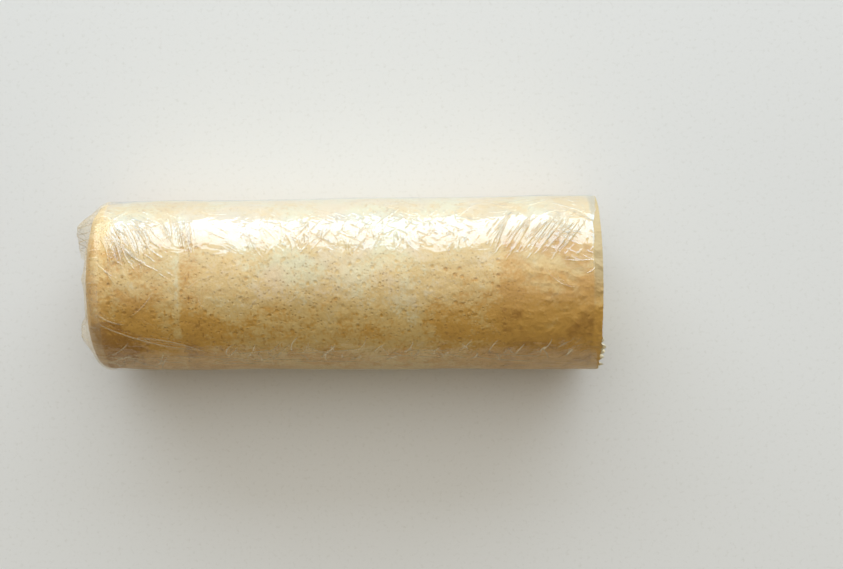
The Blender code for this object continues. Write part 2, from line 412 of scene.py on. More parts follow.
@dataclass
class Roll:
    """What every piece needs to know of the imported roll."""

    nodes: dict[str, bpy.types.Object]
    rim_round: float = 0.0080
    bare_strip: Span = (0.0036, 0.0052)

    def __post_init__(self) -> None:
        """Reads the solids' places from the frame."""
        film_low, film_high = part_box(Node.FILM.value)
        low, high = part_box(Node.SPONGE.value)
        self.axis = Axis((film_low[1] + film_high[1]) / 2, (film_low[2] + film_high[2]) / 2)
        self.baked_end, self.cut_end = low[0], high[0]
        first = self.baked_end + self.rim_round
        self.skin = SkinMap(self.nodes[Node.SPONGE.value], self.axis, first, self.cut_end - 0.001)
        self.film = SkinMap(self.nodes[Node.FILM.value], self.axis, first, film_high[0] - 0.0050)

    def drawn_in(self, x: np.ndarray) -> np.ndarray:
        """How far the baked end's rounded rim draws the skin in, at places along X."""
        left = np.clip(self.rim_round - (x - self.baked_end), 0, self.rim_round)
        return self.rim_round - np.sqrt(self.rim_round**2 - left**2)

    def near_cut(self, x: np.ndarray, depth: float, full: float = 0.0002) -> np.ndarray:
        """0 at a depth behind the cut face, rising smoothly to 1 where only the depth full is left."""
        return smoothstep(x, self.cut_end - depth, self.cut_end - full)

    def bare(self, x: np.ndarray) -> np.ndarray:
        """1 on the strip by the cut that the film leaves bare, falling to 0 past it."""
        return smoothstep(self.cut_end - x, self.bare_strip[1], self.bare_strip[0])

    def dress(self, piece: bpy.types.Object, node: Node, slot: Slot, finish: bpy.types.Material) -> None:
        """Gives a piece its finish and its place in the frame.

        Args:
            piece: The finished mesh.
            node: The solid that it stands for.
            slot: The record's slot of its material; not used.
            finish: Its material.
        """
        piece.data.materials.clear()
        piece.data.materials.append(finish)
        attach(piece, "root")
        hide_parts(node.value)
        triangles = sum(len(polygon.vertices) - 2 for polygon in piece.data.polygons)
        LOG.info("%s: %d triangles", piece.name, triangles)


# ---------------------------------------------------------------- shader sums


class Value:
    """A shader socket that can be used in sums like a number; each sum is a Math node."""

    def __init__(self, graph: "Graph", socket: Socket) -> None:
        """Wraps a socket of a graph."""
        self.graph, self.socket = graph, socket

    def __add__(self, other: "Value | float") -> "Value":
        """Sum."""
        return self.graph.math("ADD", self, other)

    def __sub__(self, other: "Value | float") -> "Value":
        """Difference."""
        return self.graph.math("SUBTRACT", self, other)

    def __rsub__(self, other: float) -> "Value":
        """Difference from a number."""
        return self.graph.math("SUBTRACT", other, self)

    def __mul__(self, other: "Value | float") -> "Value":
        """Product."""
        return self.graph.math("MULTIPLY", self, other)

    def __truediv__(self, other: "Value | float") -> "Value":
        """Quotient."""
        return self.graph.math("DIVIDE", self, other)

    def __rtruediv__(self, other: float) -> "Value":
        """Quotient of a number."""
        return self.graph.math("DIVIDE", other, self)

    def __pow__(self, other: float) -> "Value":
        """Power."""
        return self.graph.math("POWER", self, other)

    def __abs__(self) -> "Value":
        """Size without sign."""
        return self.graph.math("ABSOLUTE", self)

    __radd__ = __add__
    __rmul__ = __mul__


class Graph:
    """Adds shader nodes to a tree, with inputs given as values, numbers or colours."""

    def __init__(self, tree: bpy.types.NodeTree) -> None:
        """Starts on a tree."""
        self.tree = tree

    def feed(self, socket: Socket, value: object) -> None:
        """Sets an input, or links it where the value comes from another node.

        Args:
            socket: The input.
            value: A number, a colour, a Value or an output.
        """
        if isinstance(value, Value):
            value = value.socket
        if isinstance(value, bpy.types.NodeSocket):
            self.tree.links.new(value, socket)
        elif socket.type == "RGBA" and len(value) == 3:
            socket.default_value = (*value, 1.0)
        else:
            socket.default_value = value

    def add(self, kind: str, inputs: dict | None = None, **settings: object) -> bpy.types.Node:
        """One node.

        Args:
            kind: Its type.
            inputs: What each input gets, by name or number.
            **settings: Its own properties.

        Returns:
            The node.
        """
        node = self.tree.nodes.new(kind)
        for name, value in settings.items():
            setattr(node, name, value)
        for name, value in (inputs or {}).items():
            self.feed(node.inputs[name], value)
        return node

    def value(self, kind: str, inputs: dict | None = None, out: str | int = 0, **settings: object) -> Value:
        """One output, by name or number, of a new node."""
        return Value(self, self.add(kind, inputs, **settings).outputs[out])

    def math(self, operation: str, a: object, b: object = 0.0, clamp: bool = False) -> Value:
        """A Math node's result."""
        return self.value("ShaderNodeMath", {0: a, 1: b}, operation=operation, use_clamp=clamp)

    def blend(self, share: object, a: object, b: object) -> Value:
        """Two colours mixed by a share, 0 for the first."""
        return self.value("ShaderNodeMix", {0: share, 6: a, 7: b}, 2, data_type="RGBA")

    def coats(self, colour: object, *coats: tuple[object, object]) -> Value:
        """A colour under coats of others.

        Args:
            colour: What is underneath.
            *coats: The share and the colour of each coat.

        Returns:
            The colour that shows.
        """
        for share, coat in coats:
            colour = self.blend(share, colour, coat)
        return colour

    def rise(self, value: object, low: float, high: float) -> Value:
        """A smooth rise from 0 at low to 1 at high."""
        return self.value("ShaderNodeMapRange", {0: value, 1: low, 2: high}, interpolation_type="SMOOTHSTEP")

    def noise(
        self, at: Value, size: float, detail: float = 2.0, rough: float = 0.5, twist: float = 0.0
    ) -> Value:
        """Noise from 0 to 1 whose waves are about size long."""
        inputs = {"Vector": at, "Scale": 1.0 / size, "Detail": detail}
        return self.value("ShaderNodeTexNoise", inputs | {"Roughness": rough, "Distortion": twist})

    def kept(self, name: str) -> Value:
        """The number that a mesh keeps for each vertex under this name."""
        return self.value("ShaderNodeAttribute", out="Fac", attribute_name=name)

    def point(self, *places: object) -> Value:
        """A vector of up to three numbers."""
        return self.value("ShaderNodeCombineXYZ", dict(enumerate(places)))

    def parts(self, vector: Value) -> list[Value]:
        """A vector's three numbers."""
        return [Value(self, part) for part in self.add("ShaderNodeSeparateXYZ", {0: vector}).outputs]

    def stretch(self, at: Value, scale: Colour, turn: Colour = (0, 0, 0)) -> Value:
        """Coordinates turned by these angles and then scaled."""
        return self.value("ShaderNodeMapping", {"Vector": at, "Rotation": turn, "Scale": scale})

    def relief(self, height: Value, depth: float) -> Value:
        """A normal from a height of 0 to 1 that stands for a depth in metres."""
        return self.value("ShaderNodeBump", {"Height": height, "Distance": depth, "Strength": 1.0})


class Effect:
    """A shader node group that is built once and placed in each material with its own values."""

    name = "effect"
    inputs: dict[str, float] = {}

    def tree(self) -> bpy.types.NodeTree:
        """The group, made on first use.

        Returns:
            Its tree.
        """
        if self.name in bpy.data.node_groups:
            return bpy.data.node_groups[self.name]
        made = bpy.data.node_groups.new(self.name, "ShaderNodeTree")
        made.interface.new_socket("At", in_out="INPUT", socket_type="NodeSocketVector")
        for name, value in self.inputs.items():
            socket = made.interface.new_socket(name, in_out="INPUT", socket_type="NodeSocketFloat")
            socket.default_value = value
        made.interface.new_socket("Mask", in_out="OUTPUT", socket_type="NodeSocketFloat")
        graph = Graph(made)
        given = graph.add("NodeGroupInput").outputs
        result = self.build(graph, {name: Value(graph, given[name]) for name in ("At", *self.inputs)})
        graph.feed(graph.add("NodeGroupOutput").inputs[0], result)
        return made

    def build(self, graph: Graph, given: dict[str, Value]) -> Value:
        """Fills the group; each effect has its own."""
        raise NotImplementedError

    def place(self, graph: Graph, at: Value, **values: object) -> Value:
        """The group's mask, from a node of a material.

        Args:
            graph: The material's graph.
            at: Coordinates.
            **values: What its other inputs get, by name.

        Returns:
            The mask.
        """
        inputs = {"At": at} | {name.capitalize(): value for name, value in values.items()}
        return graph.value("ShaderNodeGroup", inputs, node_tree=self.tree())


class Pitting(Effect):
    """Small open pores of uneven size and depth."""

    name = "pitting"
    inputs = {"Size": 0.0015, "Share": 0.3}

    def build(self, graph: Graph, given: dict[str, Value]) -> Value:
        """Voronoi middles that a second noise bends and a share of which is kept.

        Args:
            graph: The group's graph.
            given: Its inputs.

        Returns:
            1 in a pore's middle.
        """
        density = 1.0 / given["Size"]
        at = {"Vector": given["At"], "Scale": density}
        bent = graph.value("ShaderNodeTexNoise", at | {"Detail": 1.0}, 1)
        offset = graph.value("ShaderNodeVectorMath", {0: bent, 1: (0.0007,) * 3}, operation="MULTIPLY")
        moved = graph.value("ShaderNodeVectorMath", {0: given["At"], 1: offset}, operation="ADD")
        cells = graph.add("ShaderNodeTexVoronoi", at | {"Vector": moved}).outputs
        picked = graph.value("ShaderNodeSeparateColor", {0: cells["Color"]})
        chosen = graph.math("LESS_THAN", picked, given["Share"])
        return graph.rise(Value(graph, cells["Distance"]) + 0.075 * picked, 0.42, 0.12) * chosen


class Pleating(Effect):
    """Thin broken ridges that run side by side in one direction over a sheet.

    At holds the place along X and round the sheet in metres. The ridges run square to the direction that
    Across and Around give, are Spacing apart, and are Thin times that wide.
    """

    name = "pleating"
    inputs = {"Across": 1.0, "Around": 0.0, "Spacing": 0.003, "Thin": 0.06, "Length": 9.0, "Stray": 0.3}

    def build(self, graph: Graph, given: dict[str, Value]) -> Value:
        """Wavy lines side by side, each of which comes and goes along its own length.

        Args:
            graph: The group's graph.
            given: Its inputs.

        Returns:
            1 on a ridge.
        """
        _, across, around, spacing, thin, length, stray = given.values()
        x, y, _ = graph.parts(given["At"])
        over = (x * across + y * around) / spacing
        along = (y * across - x * around) / (spacing * length)
        wave = graph.noise(graph.point(over, along, length), 1 / 0.55)
        line = over + (wave - 0.5) * stray
        away = abs(graph.math("FRACT", line) - 0.5)
        ridge = graph.value("ShaderNodeMapRange", {0: away, 1: thin, 2: 0.0})
        own = 7.3 * graph.math("FLOOR", line)
        broken = graph.noise(graph.point(own, along, length), 1 / 2.2, 1.0)
        return ridge * graph.rise(broken, 0.50, 0.62)


class Mottle(Effect):
    """Soft uneven domes and valleys, as on a baked skin."""

    name = "mottle"
    inputs = {"Size": 0.003}

    def build(self, graph: Graph, given: dict[str, Value]) -> Value:
        """Smooth cells mixed with noise of the same size.

        Args:
            graph: The group's graph.
            given: Its inputs.

        Returns:
            The height, about 0 to 1.
        """
        at = {"Vector": given["At"], "Scale": 1.0 / given["Size"]}
        cells = graph.value("ShaderNodeTexVoronoi", at, "Distance", feature="SMOOTH_F1")
        soft = graph.value("ShaderNodeTexNoise", at | {"Detail": 3.0})
        return 0.55 * (1 - cells) + 0.45 * soft


# ---------------------------------------------------------------- finishes


@dataclass(frozen=True)
class Finish:
    """A material: its name and the shader settings that are the same all over."""

    name: str
    roughness: float = 0.6

    def material(self) -> bpy.types.Material:
        """The material, made on first use.

        Returns:
            It.
        """
        if self.name in bpy.data.materials:
            return bpy.data.materials[self.name]
        made = bpy.data.materials.new(self.name)
        made.use_nodes = True
        made.node_tree.nodes.clear()
        graph = Graph(made.node_tree)
        shader = graph.add("ShaderNodeBsdfPrincipled", {"Roughness": self.roughness})
        for name, value in self.paint(graph, graph.value("ShaderNodeTexCoord", out="Object")).items():
            graph.feed(shader.inputs[name], value)
        graph.add("ShaderNodeOutputMaterial", {0: shader.outputs[0]})
        return made

    def paint(self, graph: Graph, at: Value) -> dict[str, object]:
        """What the shader's inputs get, by name, from Object coordinates; each finish has its own."""
        raise NotImplementedError


@dataclass(frozen=True)
class SpongeFinish(Finish):
    """Golden crust outside and pale open crumb where the roll is cut.

    The mesh keeps 'crust', 1 on baked skin and 0 in the crumb, 'near_skin', a softer form of it, 'browning',
    0 pale to 1 brown, with painted light in it, paler towards the window and browner below, partly as painted
    shade, 'wrinkled', 1 where the skin is leathery, 'bare', 1 on the dull strip past the film, and 'around',
    the length round the roll in metres.
    """

    pale: Colour = (0.820, 0.718, 0.440)
    peach: Colour = (0.830, 0.650, 0.390)
    golden: Colour = (0.790, 0.565, 0.225)
    orange: Colour = (0.700, 0.395, 0.085)
    brown: Colour = (0.470, 0.232, 0.045)
    pore: Colour = (0.420, 0.210, 0.045)
    bared: Colour = (0.505, 0.386, 0.200)
    crumb: Colour = (0.950, 0.835, 0.545)
    crumb_light: Colour = (0.980, 0.925, 0.720)
    crumb_pore_shade: Colour = (0.640, 0.490, 0.250)
    crumb_fleck: Colour = (0.740, 0.640, 0.350)
    rim: Colour = (0.840, 0.630, 0.270)

    def paint(self, graph: Graph, at: Value) -> dict[str, object]:
        """Lays crust over crumb by the mesh's own masks.

        Args:
            graph: The material's graph.
            at: Object coordinates.

        Returns:
            The shader's inputs.
        """
        crust, crust_height = self._crust(graph, at)
        crumb, crumb_height = self._crumb(graph, at)
        edge = 1.3 * (graph.noise(at, 0.0014, 3.0) - 0.5)
        share = graph.rise(graph.kept("crust") + edge, 0.35, 0.65)
        return {
            "Base Color": graph.blend(share, crumb, crust),
            "Roughness": 0.85 - 0.30 * share,
            "Normal": graph.relief(graph.blend(share, 0.25 * crumb_height, crust_height), 0.0012),
        }

    def _crust(self, graph: Graph, at: Value) -> tuple[Value, Value]:
        """The baked skin.

        Args:
            graph: The material's graph.
            at: Object coordinates.

        Returns:
            Its colour, and its height from 0 to 1.
        """
        browning_and_painted_light, leathery = graph.kept("browning_and_painted_light"), graph.kept("wrinkled")
        sound = 1 - 0.6 * leathery
        x = graph.parts(at)[0]
        domes = Mottle().place(graph, at, size=0.0042)
        fine = Mottle().place(graph, at, size=0.0013)
        pits = Pitting().place(graph, at, size=0.0018, share=0.50)
        wide_pits = Pitting().place(graph, at, size=0.0036, share=0.40)
        dashes = Pitting().place(graph, graph.stretch(at, (2.1, 0.55, 0.55)), size=0.0032, share=0.16)
        patches = graph.noise(at, 0.0150, 2.0, 0.6, 0.4) - 0.5
        small = graph.noise(at, 0.0046, 4.0, 0.65, 0.3) - 0.5
        lower = graph.rise(browning_and_painted_light, 0.35, 0.60) * sound * graph.rise(x, 0.0, -0.040)
        tone = browning_and_painted_light + 1.15 * patches + 0.80 * small + 0.55 * dashes * lower
        # Partly the crust's own browner pores, partly painted shade: the dimples and the low parts of the
        # fine domes are painted browner.
        tone = tone + (0.82 * (0.55 - fine) + 0.28 * wide_pits) * sound
        patchy = graph.rise(graph.noise(at, 0.0180, 2.0), 0.36, 0.60)
        colour = graph.coats(
            self.pale,
            (graph.rise(graph.noise(at, 0.0210, 1.0), 0.40, 0.62), self.peach),
            (graph.rise(tone, -0.06, 0.40), self.golden),
            (graph.rise(tone, 0.40, 0.82), self.orange),
            (graph.rise(tone, 0.84, 1.50), self.brown),
            # The pores are painted dark: partly the crust's own brown, partly painted shade in them.
            (pits * sound * (0.40 * patchy + 0.16), self.pore),
            # The strip by the cut is painted a darker, greyer brown.
            (0.85 * graph.kept("bare"), self.bared),
        )
        sheet = graph.point(x, graph.kept("around"))
        long_form = {"spacing": 0.0062, "thin": 0.42, "length": 3.2, "stray": 1.3}
        short_form = long_form | {"spacing": 0.0040, "thin": 0.36}
        long_fold = Pleating().place(graph, sheet, across=0.62, around=-0.78, **long_form)
        short_fold = Pleating().place(graph, sheet, across=0.17, around=-0.98, **short_form)
        folds = graph.noise(graph.stretch(at, (0.75, 1.0, 1.0), (0, 0, -0.60)), 0.0100, 2.0, 0.45, 0.9)
        height = 0.84 * domes + 0.24 * fine - 0.17 * pits - 0.28 * wide_pits
        leather = folds + 0.22 * fine + 0.36 * long_fold + 0.18 * short_fold
        return colour, graph.blend(leathery, height, leather)

    def _crumb(self, graph: Graph, at: Value) -> tuple[Value, Value]:
        """The open crumb.

        Args:
            graph: The material's graph.
            at: Object coordinates.

        Returns:
            Its colour, and its height from 0 to 1.
        """
        open_pores = Pitting().place(graph, at, size=0.0017, share=0.55)
        pinholes = Pitting().place(graph, at, size=0.0008, share=0.5)
        deep = graph.math("MAXIMUM", 0.60 * open_pores, 0.30 * pinholes)
        grain = graph.noise(at, 0.0011, 4.0, 0.65)
        colour = graph.coats(
            self.crumb,
            (graph.rise(grain, 0.35, 0.70), self.crumb_light),
            (graph.rise(graph.noise(at, 0.0060, 3.0, 0.6), 0.50, 0.78), self.crumb),
            (0.40 * graph.rise(graph.noise(at, 0.0019, 2.0), 0.60, 0.72), self.crumb_fleck),
            # Painted shade: the crumb is painted darker in its open pores and pinholes.
            (deep, self.crumb_pore_shade),
            (0.90 * graph.kept("near_skin"), self.rim),
        )
        return colour, 0.6 * grain - deep


@dataclass(frozen=True)
class CreamFinish(Finish):
    """Soft white cheese cream, a little wet."""

    white: Colour = (0.970, 0.885, 0.745)
    shade: Colour = (0.850, 0.730, 0.560)

    def paint(self, graph: Graph, at: Value) -> dict[str, object]:
        """Cloudy white with a fine curd.

        Args:
            graph: The material's graph.
            at: Object coordinates.

        Returns:
            The shader's inputs.
        """
        cloud = graph.rise(graph.noise(at, 0.0045, 4.0, 0.6), 0.45, 0.80)
        curd = Mottle().place(graph, at, size=0.0012)
        return {
            "Base Color": graph.blend(cloud, self.white, self.shade),
            "Roughness": 0.55 - 0.23 * graph.rise(curd, 0.3, 0.7),
            "Subsurface Weight": 0.15,
            "Subsurface Radius": (0.002, 0.0015, 0.001),
            "Normal": graph.relief(curd, 0.0004),
        }


@dataclass(frozen=True)
class BitFinish(Finish):
    """Chopped savoury pieces, grey-brown with paler flesh; the mesh keeps each one's 'tone'."""

    dark: Colour = (0.150, 0.115, 0.085)
    mid: Colour = (0.400, 0.330, 0.245)
    light: Colour = (0.640, 0.570, 0.450)

    def paint(self, graph: Graph, at: Value) -> dict[str, object]:
        """Streaked flesh, each piece in its own tone.

        Args:
            graph: The material's graph.
            at: Object coordinates.

        Returns:
            The shader's inputs.
        """
        streak = graph.noise(graph.stretch(at, (1.0, 0.5, 1.4)), 0.0012, 4.0, 0.65)
        tone = graph.kept("tone") + 1.1 * (streak - 0.5)
        coats = (graph.rise(tone, 0.15, 0.55), self.mid), (graph.rise(tone, 0.60, 0.95), self.light)
        return {"Base Color": graph.coats(self.dark, *coats), "Normal": graph.relief(streak, 0.0004)}


@dataclass(frozen=True)
class HamFinish(Finish):
    """Cooked ham, dusky pink and moist; the mesh keeps 'edge', 1 at a slice's faces, which are paler."""

    pink: Colour = (0.790, 0.565, 0.520)
    light: Colour = (0.880, 0.720, 0.655)
    deep: Colour = (0.700, 0.465, 0.420)

    def paint(self, graph: Graph, at: Value) -> dict[str, object]:
        """Meat grain in streaks with pale fat.

        Args:
            graph: The material's graph.
            at: Object coordinates.

        Returns:
            The shader's inputs.
        """
        grain = graph.noise(at, 0.0016, 4.0, 0.6, 0.6)
        colour = graph.coats(
            self.deep,
            (graph.rise(grain, 0.30, 0.75), self.pink),
            (graph.rise(graph.noise(at, 0.0075, 2.0), 0.48, 0.72), self.light),
            (0.22 * graph.kept("edge"), self.light),
        )
        return {
            "Base Color": colour,
            "Roughness": 0.28 + 0.18 * graph.rise(grain, 0.3, 0.7),
            "Subsurface Weight": 0.12,
            "Subsurface Radius": (0.003, 0.0012, 0.001),
            "Normal": graph.relief(grain, 0.0003),
        }


@dataclass(frozen=True)
class Pleats:
    """Thin pleats of the film: the mesh's mask for them, their heading in degrees from X, and their form."""

    where: str
    heading: float
    spacing: float
    thin: float
    length: float
    stray: float
    height: float
    # Painted highlight: how much whiter the film is along these pleats.
    haze: float


@dataclass(frozen=True)
class FilmFinish(Finish):
    """Clear cling film: a mirror, strongest at a slant and where doubled, painted whiter along its creases.

    The mesh keeps 'haze', how white and dense the film is, with painted sheen on the side towards the window,
    'layers', about 1 for one taut layer, less where it is dull and more where it is doubled, which also picks
    painted light, a warmer tint on the underside and a cooler one towards the window, 'along' and 'around',
    each point's place on the flat sheet in metres, 'crease_side', 'crease_lift' and 'crease_haze', which draw
    the nearest crease with a painted highlight along it, and a mask for each kind of pleat.
    """

    tint: Colour = (0.940, 0.930, 0.920)
    warm_tint: Colour = (0.960, 0.920, 0.760)
    cool_tint: Colour = (0.790, 0.905, 1.000)
    cloudy: Colour = (0.890, 0.845, 0.750)
    warm_cloudy: Colour = (0.970, 0.840, 0.580)
    mirror: float = 0.045
    slant_mirror: float = 0.455
    grazing_mirror: float = 0.27
    pleats: tuple[Pleats, ...] = (
        Pleats("crinkle", 82, 0.0028, 0.20, 4.5, 0.9, 0.30, 0.02),
        Pleats("crinkle", 28, 0.0036, 0.16, 4.0, 1.1, 0.28, 0.02),
        Pleats("crinkle", 128, 0.0040, 0.14, 4.0, 1.0, 0.26, 0.02),
        Pleats("streaks", 122, 0.0030, 0.18, 5.0, 0.5, 0.35, 0.03),
        Pleats("drawn", 38, 0.0036, 0.16, 4.0, 1.2, 0.35, 0.04),
        Pleats("slack", 4, 0.0030, 0.14, 5.0, 1.2, 0.16, 0.06),
        Pleats("slack", 130, 0.0052, 0.10, 4.0, 1.4, 0.25, 0.14),
    )

    def paint(self, graph: Graph, at: Value) -> dict[str, object]:
        """Mirror by the slant on both of the film's sides, and haze by the mesh's masks.

        Args:
            graph: The material's graph.
            at: Object coordinates.

        Returns:
            The shader's inputs.
        """
        height, lines = self._creased(graph)
        normal = graph.relief(height, 0.0010)
        facing = graph.value("ShaderNodeLayerWeight", {"Blend": 0.5, "Normal": normal}, "Facing")
        layers = graph.kept("layers")
        mirror = self.mirror + (self.slant_mirror * facing + self.grazing_mirror * facing**4) * layers
        cloud = graph.rise(graph.noise(at, 0.0060, 4.0, 0.7), 0.30, 0.75)
        haze = graph.kept("haze") * (0.7 * cloud + 0.3) + lines
        alpha = graph.math("ADD", mirror, (1 - mirror) * haze, clamp=True)
        # Painted light: low 'layers', on the underside turned from the window, give a warmer tint and haze
        # colour, and high 'layers', towards the window, a cooler tint.
        lit = graph.rise(layers, 0.5, 0.9)
        doubled = graph.rise(layers, 1.0, 1.3)
        tint = graph.coats(self.warm_tint, (lit, self.tint), (doubled, self.cool_tint))
        cloudy = graph.blend(lit, self.warm_cloudy, self.cloudy)
        return {
            "Base Color": graph.blend(graph.rise(haze, 0.0, 0.12), tint, cloudy),
            "Metallic": graph.math("DIVIDE", mirror, graph.math("MAXIMUM", alpha, 0.001), clamp=True),
            "Alpha": alpha,
            "Roughness": 0.05 + 0.11 * graph.rise(haze, 0.0, 0.3),
            "Normal": normal,
        }

    def _creased(self, graph: Graph) -> tuple[Value, Value]:
        """What the creases and pleats raise and whiten.

        Args:
            graph: The material's graph.

        Returns:
            The height, and how white the film is along its lines.
        """
        sheet = graph.point(graph.kept("along"), graph.kept("around"))
        ripple = graph.noise(graph.stretch(sheet, (0.75, 1.0, 1.0)), 0.0120, 3.0, 0.5, 0.5)
        away = abs(graph.kept("crease_side"))
        height = 1.05 * ripple + graph.rise(away, 1.0, 0.0) * graph.kept("crease_lift")
        # Painted highlight: the film is painted whiter along its creases and pleats, where they would catch
        # the light.
        lines = graph.rise(away, 0.8, 0.0) * graph.kept("crease_haze")
        for pleats in self.pleats:
            turn = math.radians(pleats.heading)
            form = {name: getattr(pleats, name) for name in ("spacing", "thin", "length", "stray")}
            ridge = Pleating().place(graph, sheet, across=math.sin(turn), around=-math.cos(turn), **form)
            ridge = ridge * graph.kept(pleats.where)
            height = height + pleats.height * ridge
            lines = lines + pleats.haze * ridge
        return height, lines


@dataclass(frozen=True)
class FloorFinish(Finish):
    """A pale worktop with the faintest fleck."""

    stone: Colour = (0.800, 0.800, 0.785)
    fleck: Colour = (0.700, 0.695, 0.665)

    def paint(self, graph: Graph, at: Value) -> dict[str, object]:
        """Fine fleck in a plain stone."""
        share = 0.7 * graph.rise(graph.noise(at, 0.0022, 3.0, 0.6), 0.52, 0.80)
        return {"Base Color": graph.blend(share, self.stone, self.fleck)}


# ---------------------------------------------------------------- the sponge


@dataclass
class Sponge:
    """The rolled sheet of sponge: a body with a fine slab at each end, all one in looks."""

    roll: Roll
    cut_slab: float = 0.0080
    baked_slab: float = 0.0130
    cut_voxel: float = 0.00040
    baked_voxel: float = 0.00062
    skin_cuts: int = 7
    skin_depth: float = 0.0009
    overlap: float = 0.00015
    spare: float = 0.002
    clear: float = 0.010
    coiled_radius: float = 0.0360
    tooth: float = 0.0044
    finish: SpongeFinish = field(default_factory=lambda: SpongeFinish("sponge_crust_and_crumb"))

    # How brown the skin is at places along the roll, in millimetres from its baked end.
    bands = (
        *((0, 0.52), (18, 0.50), (34, 0.42), (42, 0.30), (47.2, 0.14), (48.8, 0.68), (56, 0.56), (64, 0.36)),
        *((77, 0.24), (106, 0.12), (140, 0.06), (160, 0.08), (173, 0.26), (182, 0.32), (192, 0.28)),
        *((203, 0.38), (208, 0.66), (223.5, 0.60), (254.5, 0.62)),
    )
    # The cut face's pores: size, depth and shift of their noise.
    pores = ((0.0042, 0.0009, 1.0), (0.0022, 0.0006, 4.0), (0.0012, 0.0003, 9.0))

    def build(self) -> None:
        """Builds the three stretches of the sponge and dresses them."""
        self.node = self.roll.nodes[Node.SPONGE.value]
        self.inner_skin = self._inner_skin()
        first, last = self.roll.baked_end, self.roll.cut_end
        start, end = first + self.baked_slab, last - self.cut_slab
        pieces = [
            self._slab("sponge_cut_end", end, last, self.cut_voxel, -1),
            self._slab("sponge_baked_end", first, start, self.baked_voxel, 1),
            self._body("sponge_body", start - self.overlap, end + self.overlap),
        ]
        for piece in pieces:
            self._mark(piece.data)
            self.roll.dress(piece, Node.SPONGE, Slot.SPONGE, self.finish.material())

    def _inner_skin(self) -> BVHTree:
        """The baked skin that is rolled up inside: the channel's faces that look away from the axis.

        Returns:
            A tree to search it by.
        """

        def outer(face: bmesh.types.BMFace) -> bool:
            """Whether a face is on the outside or looks towards the axis."""
            middle = face.calc_center_median()
            out = Vector((0, middle.y - self.roll.axis.y, middle.z - self.roll.axis.z))
            return out.length >= self.coiled_radius or face.normal.dot(out.normalized()) <= 0.2

        return search_tree(merged_copy(self.node), outer)

    def _on_skin(self, points: np.ndarray, depth: float) -> tuple[np.ndarray, np.ndarray, np.ndarray]:
        """Which points lie near the outside.

        Args:
            points: Rows of three.
            depth: How near counts fully, in metres; twice as deep doesn't count.

        Returns:
            Angle, depth under the smooth outside and a share from 0 to 1 for each point.
        """
        angle, radius = self.roll.axis.polar(points)
        inward = self.roll.skin.radius(angle, points[:, 0]) - self.roll.drawn_in(points[:, 0]) - radius
        return angle, inward, smoothstep(inward, 2 * depth, depth)

    def _relief(self, points: np.ndarray) -> np.ndarray:
        """Unevenness of the baked skin, in metres."""
        near_end = smoothstep(points[:, 0] - self.roll.baked_end, 0.030, 0.004)
        slow = 0.00022 * smooth_noise(points, 0.017) + 0.00010 * smooth_noise(points, 0.0052, 3.0)
        return slow + near_end * (0.00080 * smooth_noise(points, 0.0110, 6.0) - 0.0008)

    def _put_on_skin(self, mesh: bpy.types.Mesh, depth: float) -> None:
        """Moves a mesh's outer vertices onto the smooth, slightly uneven skin.

        Args:
            mesh: The mesh, which is changed.
            depth: How near the outside a vertex must be.
        """
        points = read_points(mesh)
        angle, inward, share = self._on_skin(points, depth)
        radius = self.roll.axis.polar(points)[1]
        lobe = smoothstep(points[:, 0] - self.roll.baked_end, 0.017, 0.006)
        lobe *= smoothstep(np.abs(degrees(angle) - 127), 14, 8)
        wanted = inward + self._relief(points) + 0.0003 * lobe
        write_points(mesh, self.roll.axis.place(angle, radius + share * wanted, points[:, 0]))

    def _slab(self, name: str, first: float, last: float, voxel: float, open_side: int) -> bpy.types.Object:
        """A finely meshed slab at one end.

        Args:
            name: The piece's name.
            first: Least X.
            last: Greatest X.
            voxel: Size of its faces.
            open_side: -1 if it is joined on at first, or 1 if at last.

        Returns:
            The piece.
        """
        at_cut = open_side < 0
        below, above = (0.0, self.clear) if at_cut else (self.clear, 0.0)
        bm = merged_copy(self.node)
        keep_between(bm, first - (self.spare if at_cut else below), last + (above if at_cut else self.spare))
        piece = remeshed(name, bm, voxel)
        smooth_across(piece, 5, self._on_skin(read_points(piece.data), 0.0008)[2] > 0.5)
        self._put_on_skin(piece.data, 1.3 * voxel)
        if at_cut:
            self._tear_cut_face(piece.data)
        with edited(piece.data) as bm:
            keep_between(bm, first - below, last + above)
        piece.data.shade_smooth()
        return piece

    def _tear_cut_face(self, mesh: bpy.types.Mesh) -> None:
        """Opens pores in the cut face and pulls torn crumb out along its lower rim.

        Args:
            mesh: The slab's mesh, which is changed.
        """
        points = read_points(mesh)
        near = points[:, 0] > self.roll.cut_end - 0.0012
        spots = points[near]
        dip = np.zeros(len(spots))
        for size, depth, shift in self.pores:
            wanted = smooth_noise(spots, 2.4 * size, shift) > -0.05
            dip = np.maximum(dip, depth * wanted * smoothstep(cell_distance(spots, size, shift), 0.42, 0.16))
        angle, inward, _ = self._on_skin(spots, 0.001)
        low_rim = smoothstep(np.abs(degrees(angle) - 168), 44, 26) * smoothstep(inward, 0.0034, 0.0012)
        teeth = self.tooth * np.clip(smooth_noise(spots, 0.0032, 21.0) + 0.10, 0, 1) ** 0.8
        fine = 0.00016 * smooth_noise(spots, 0.0011, 7.0)
        lift = low_rim * teeth + fine - dip * smoothstep(inward, 0.0002, 0.0016)
        points[near, 0] += self.roll.near_cut(spots[:, 0], 0.0008, 0.0003) * lift
        write_points(mesh, points)

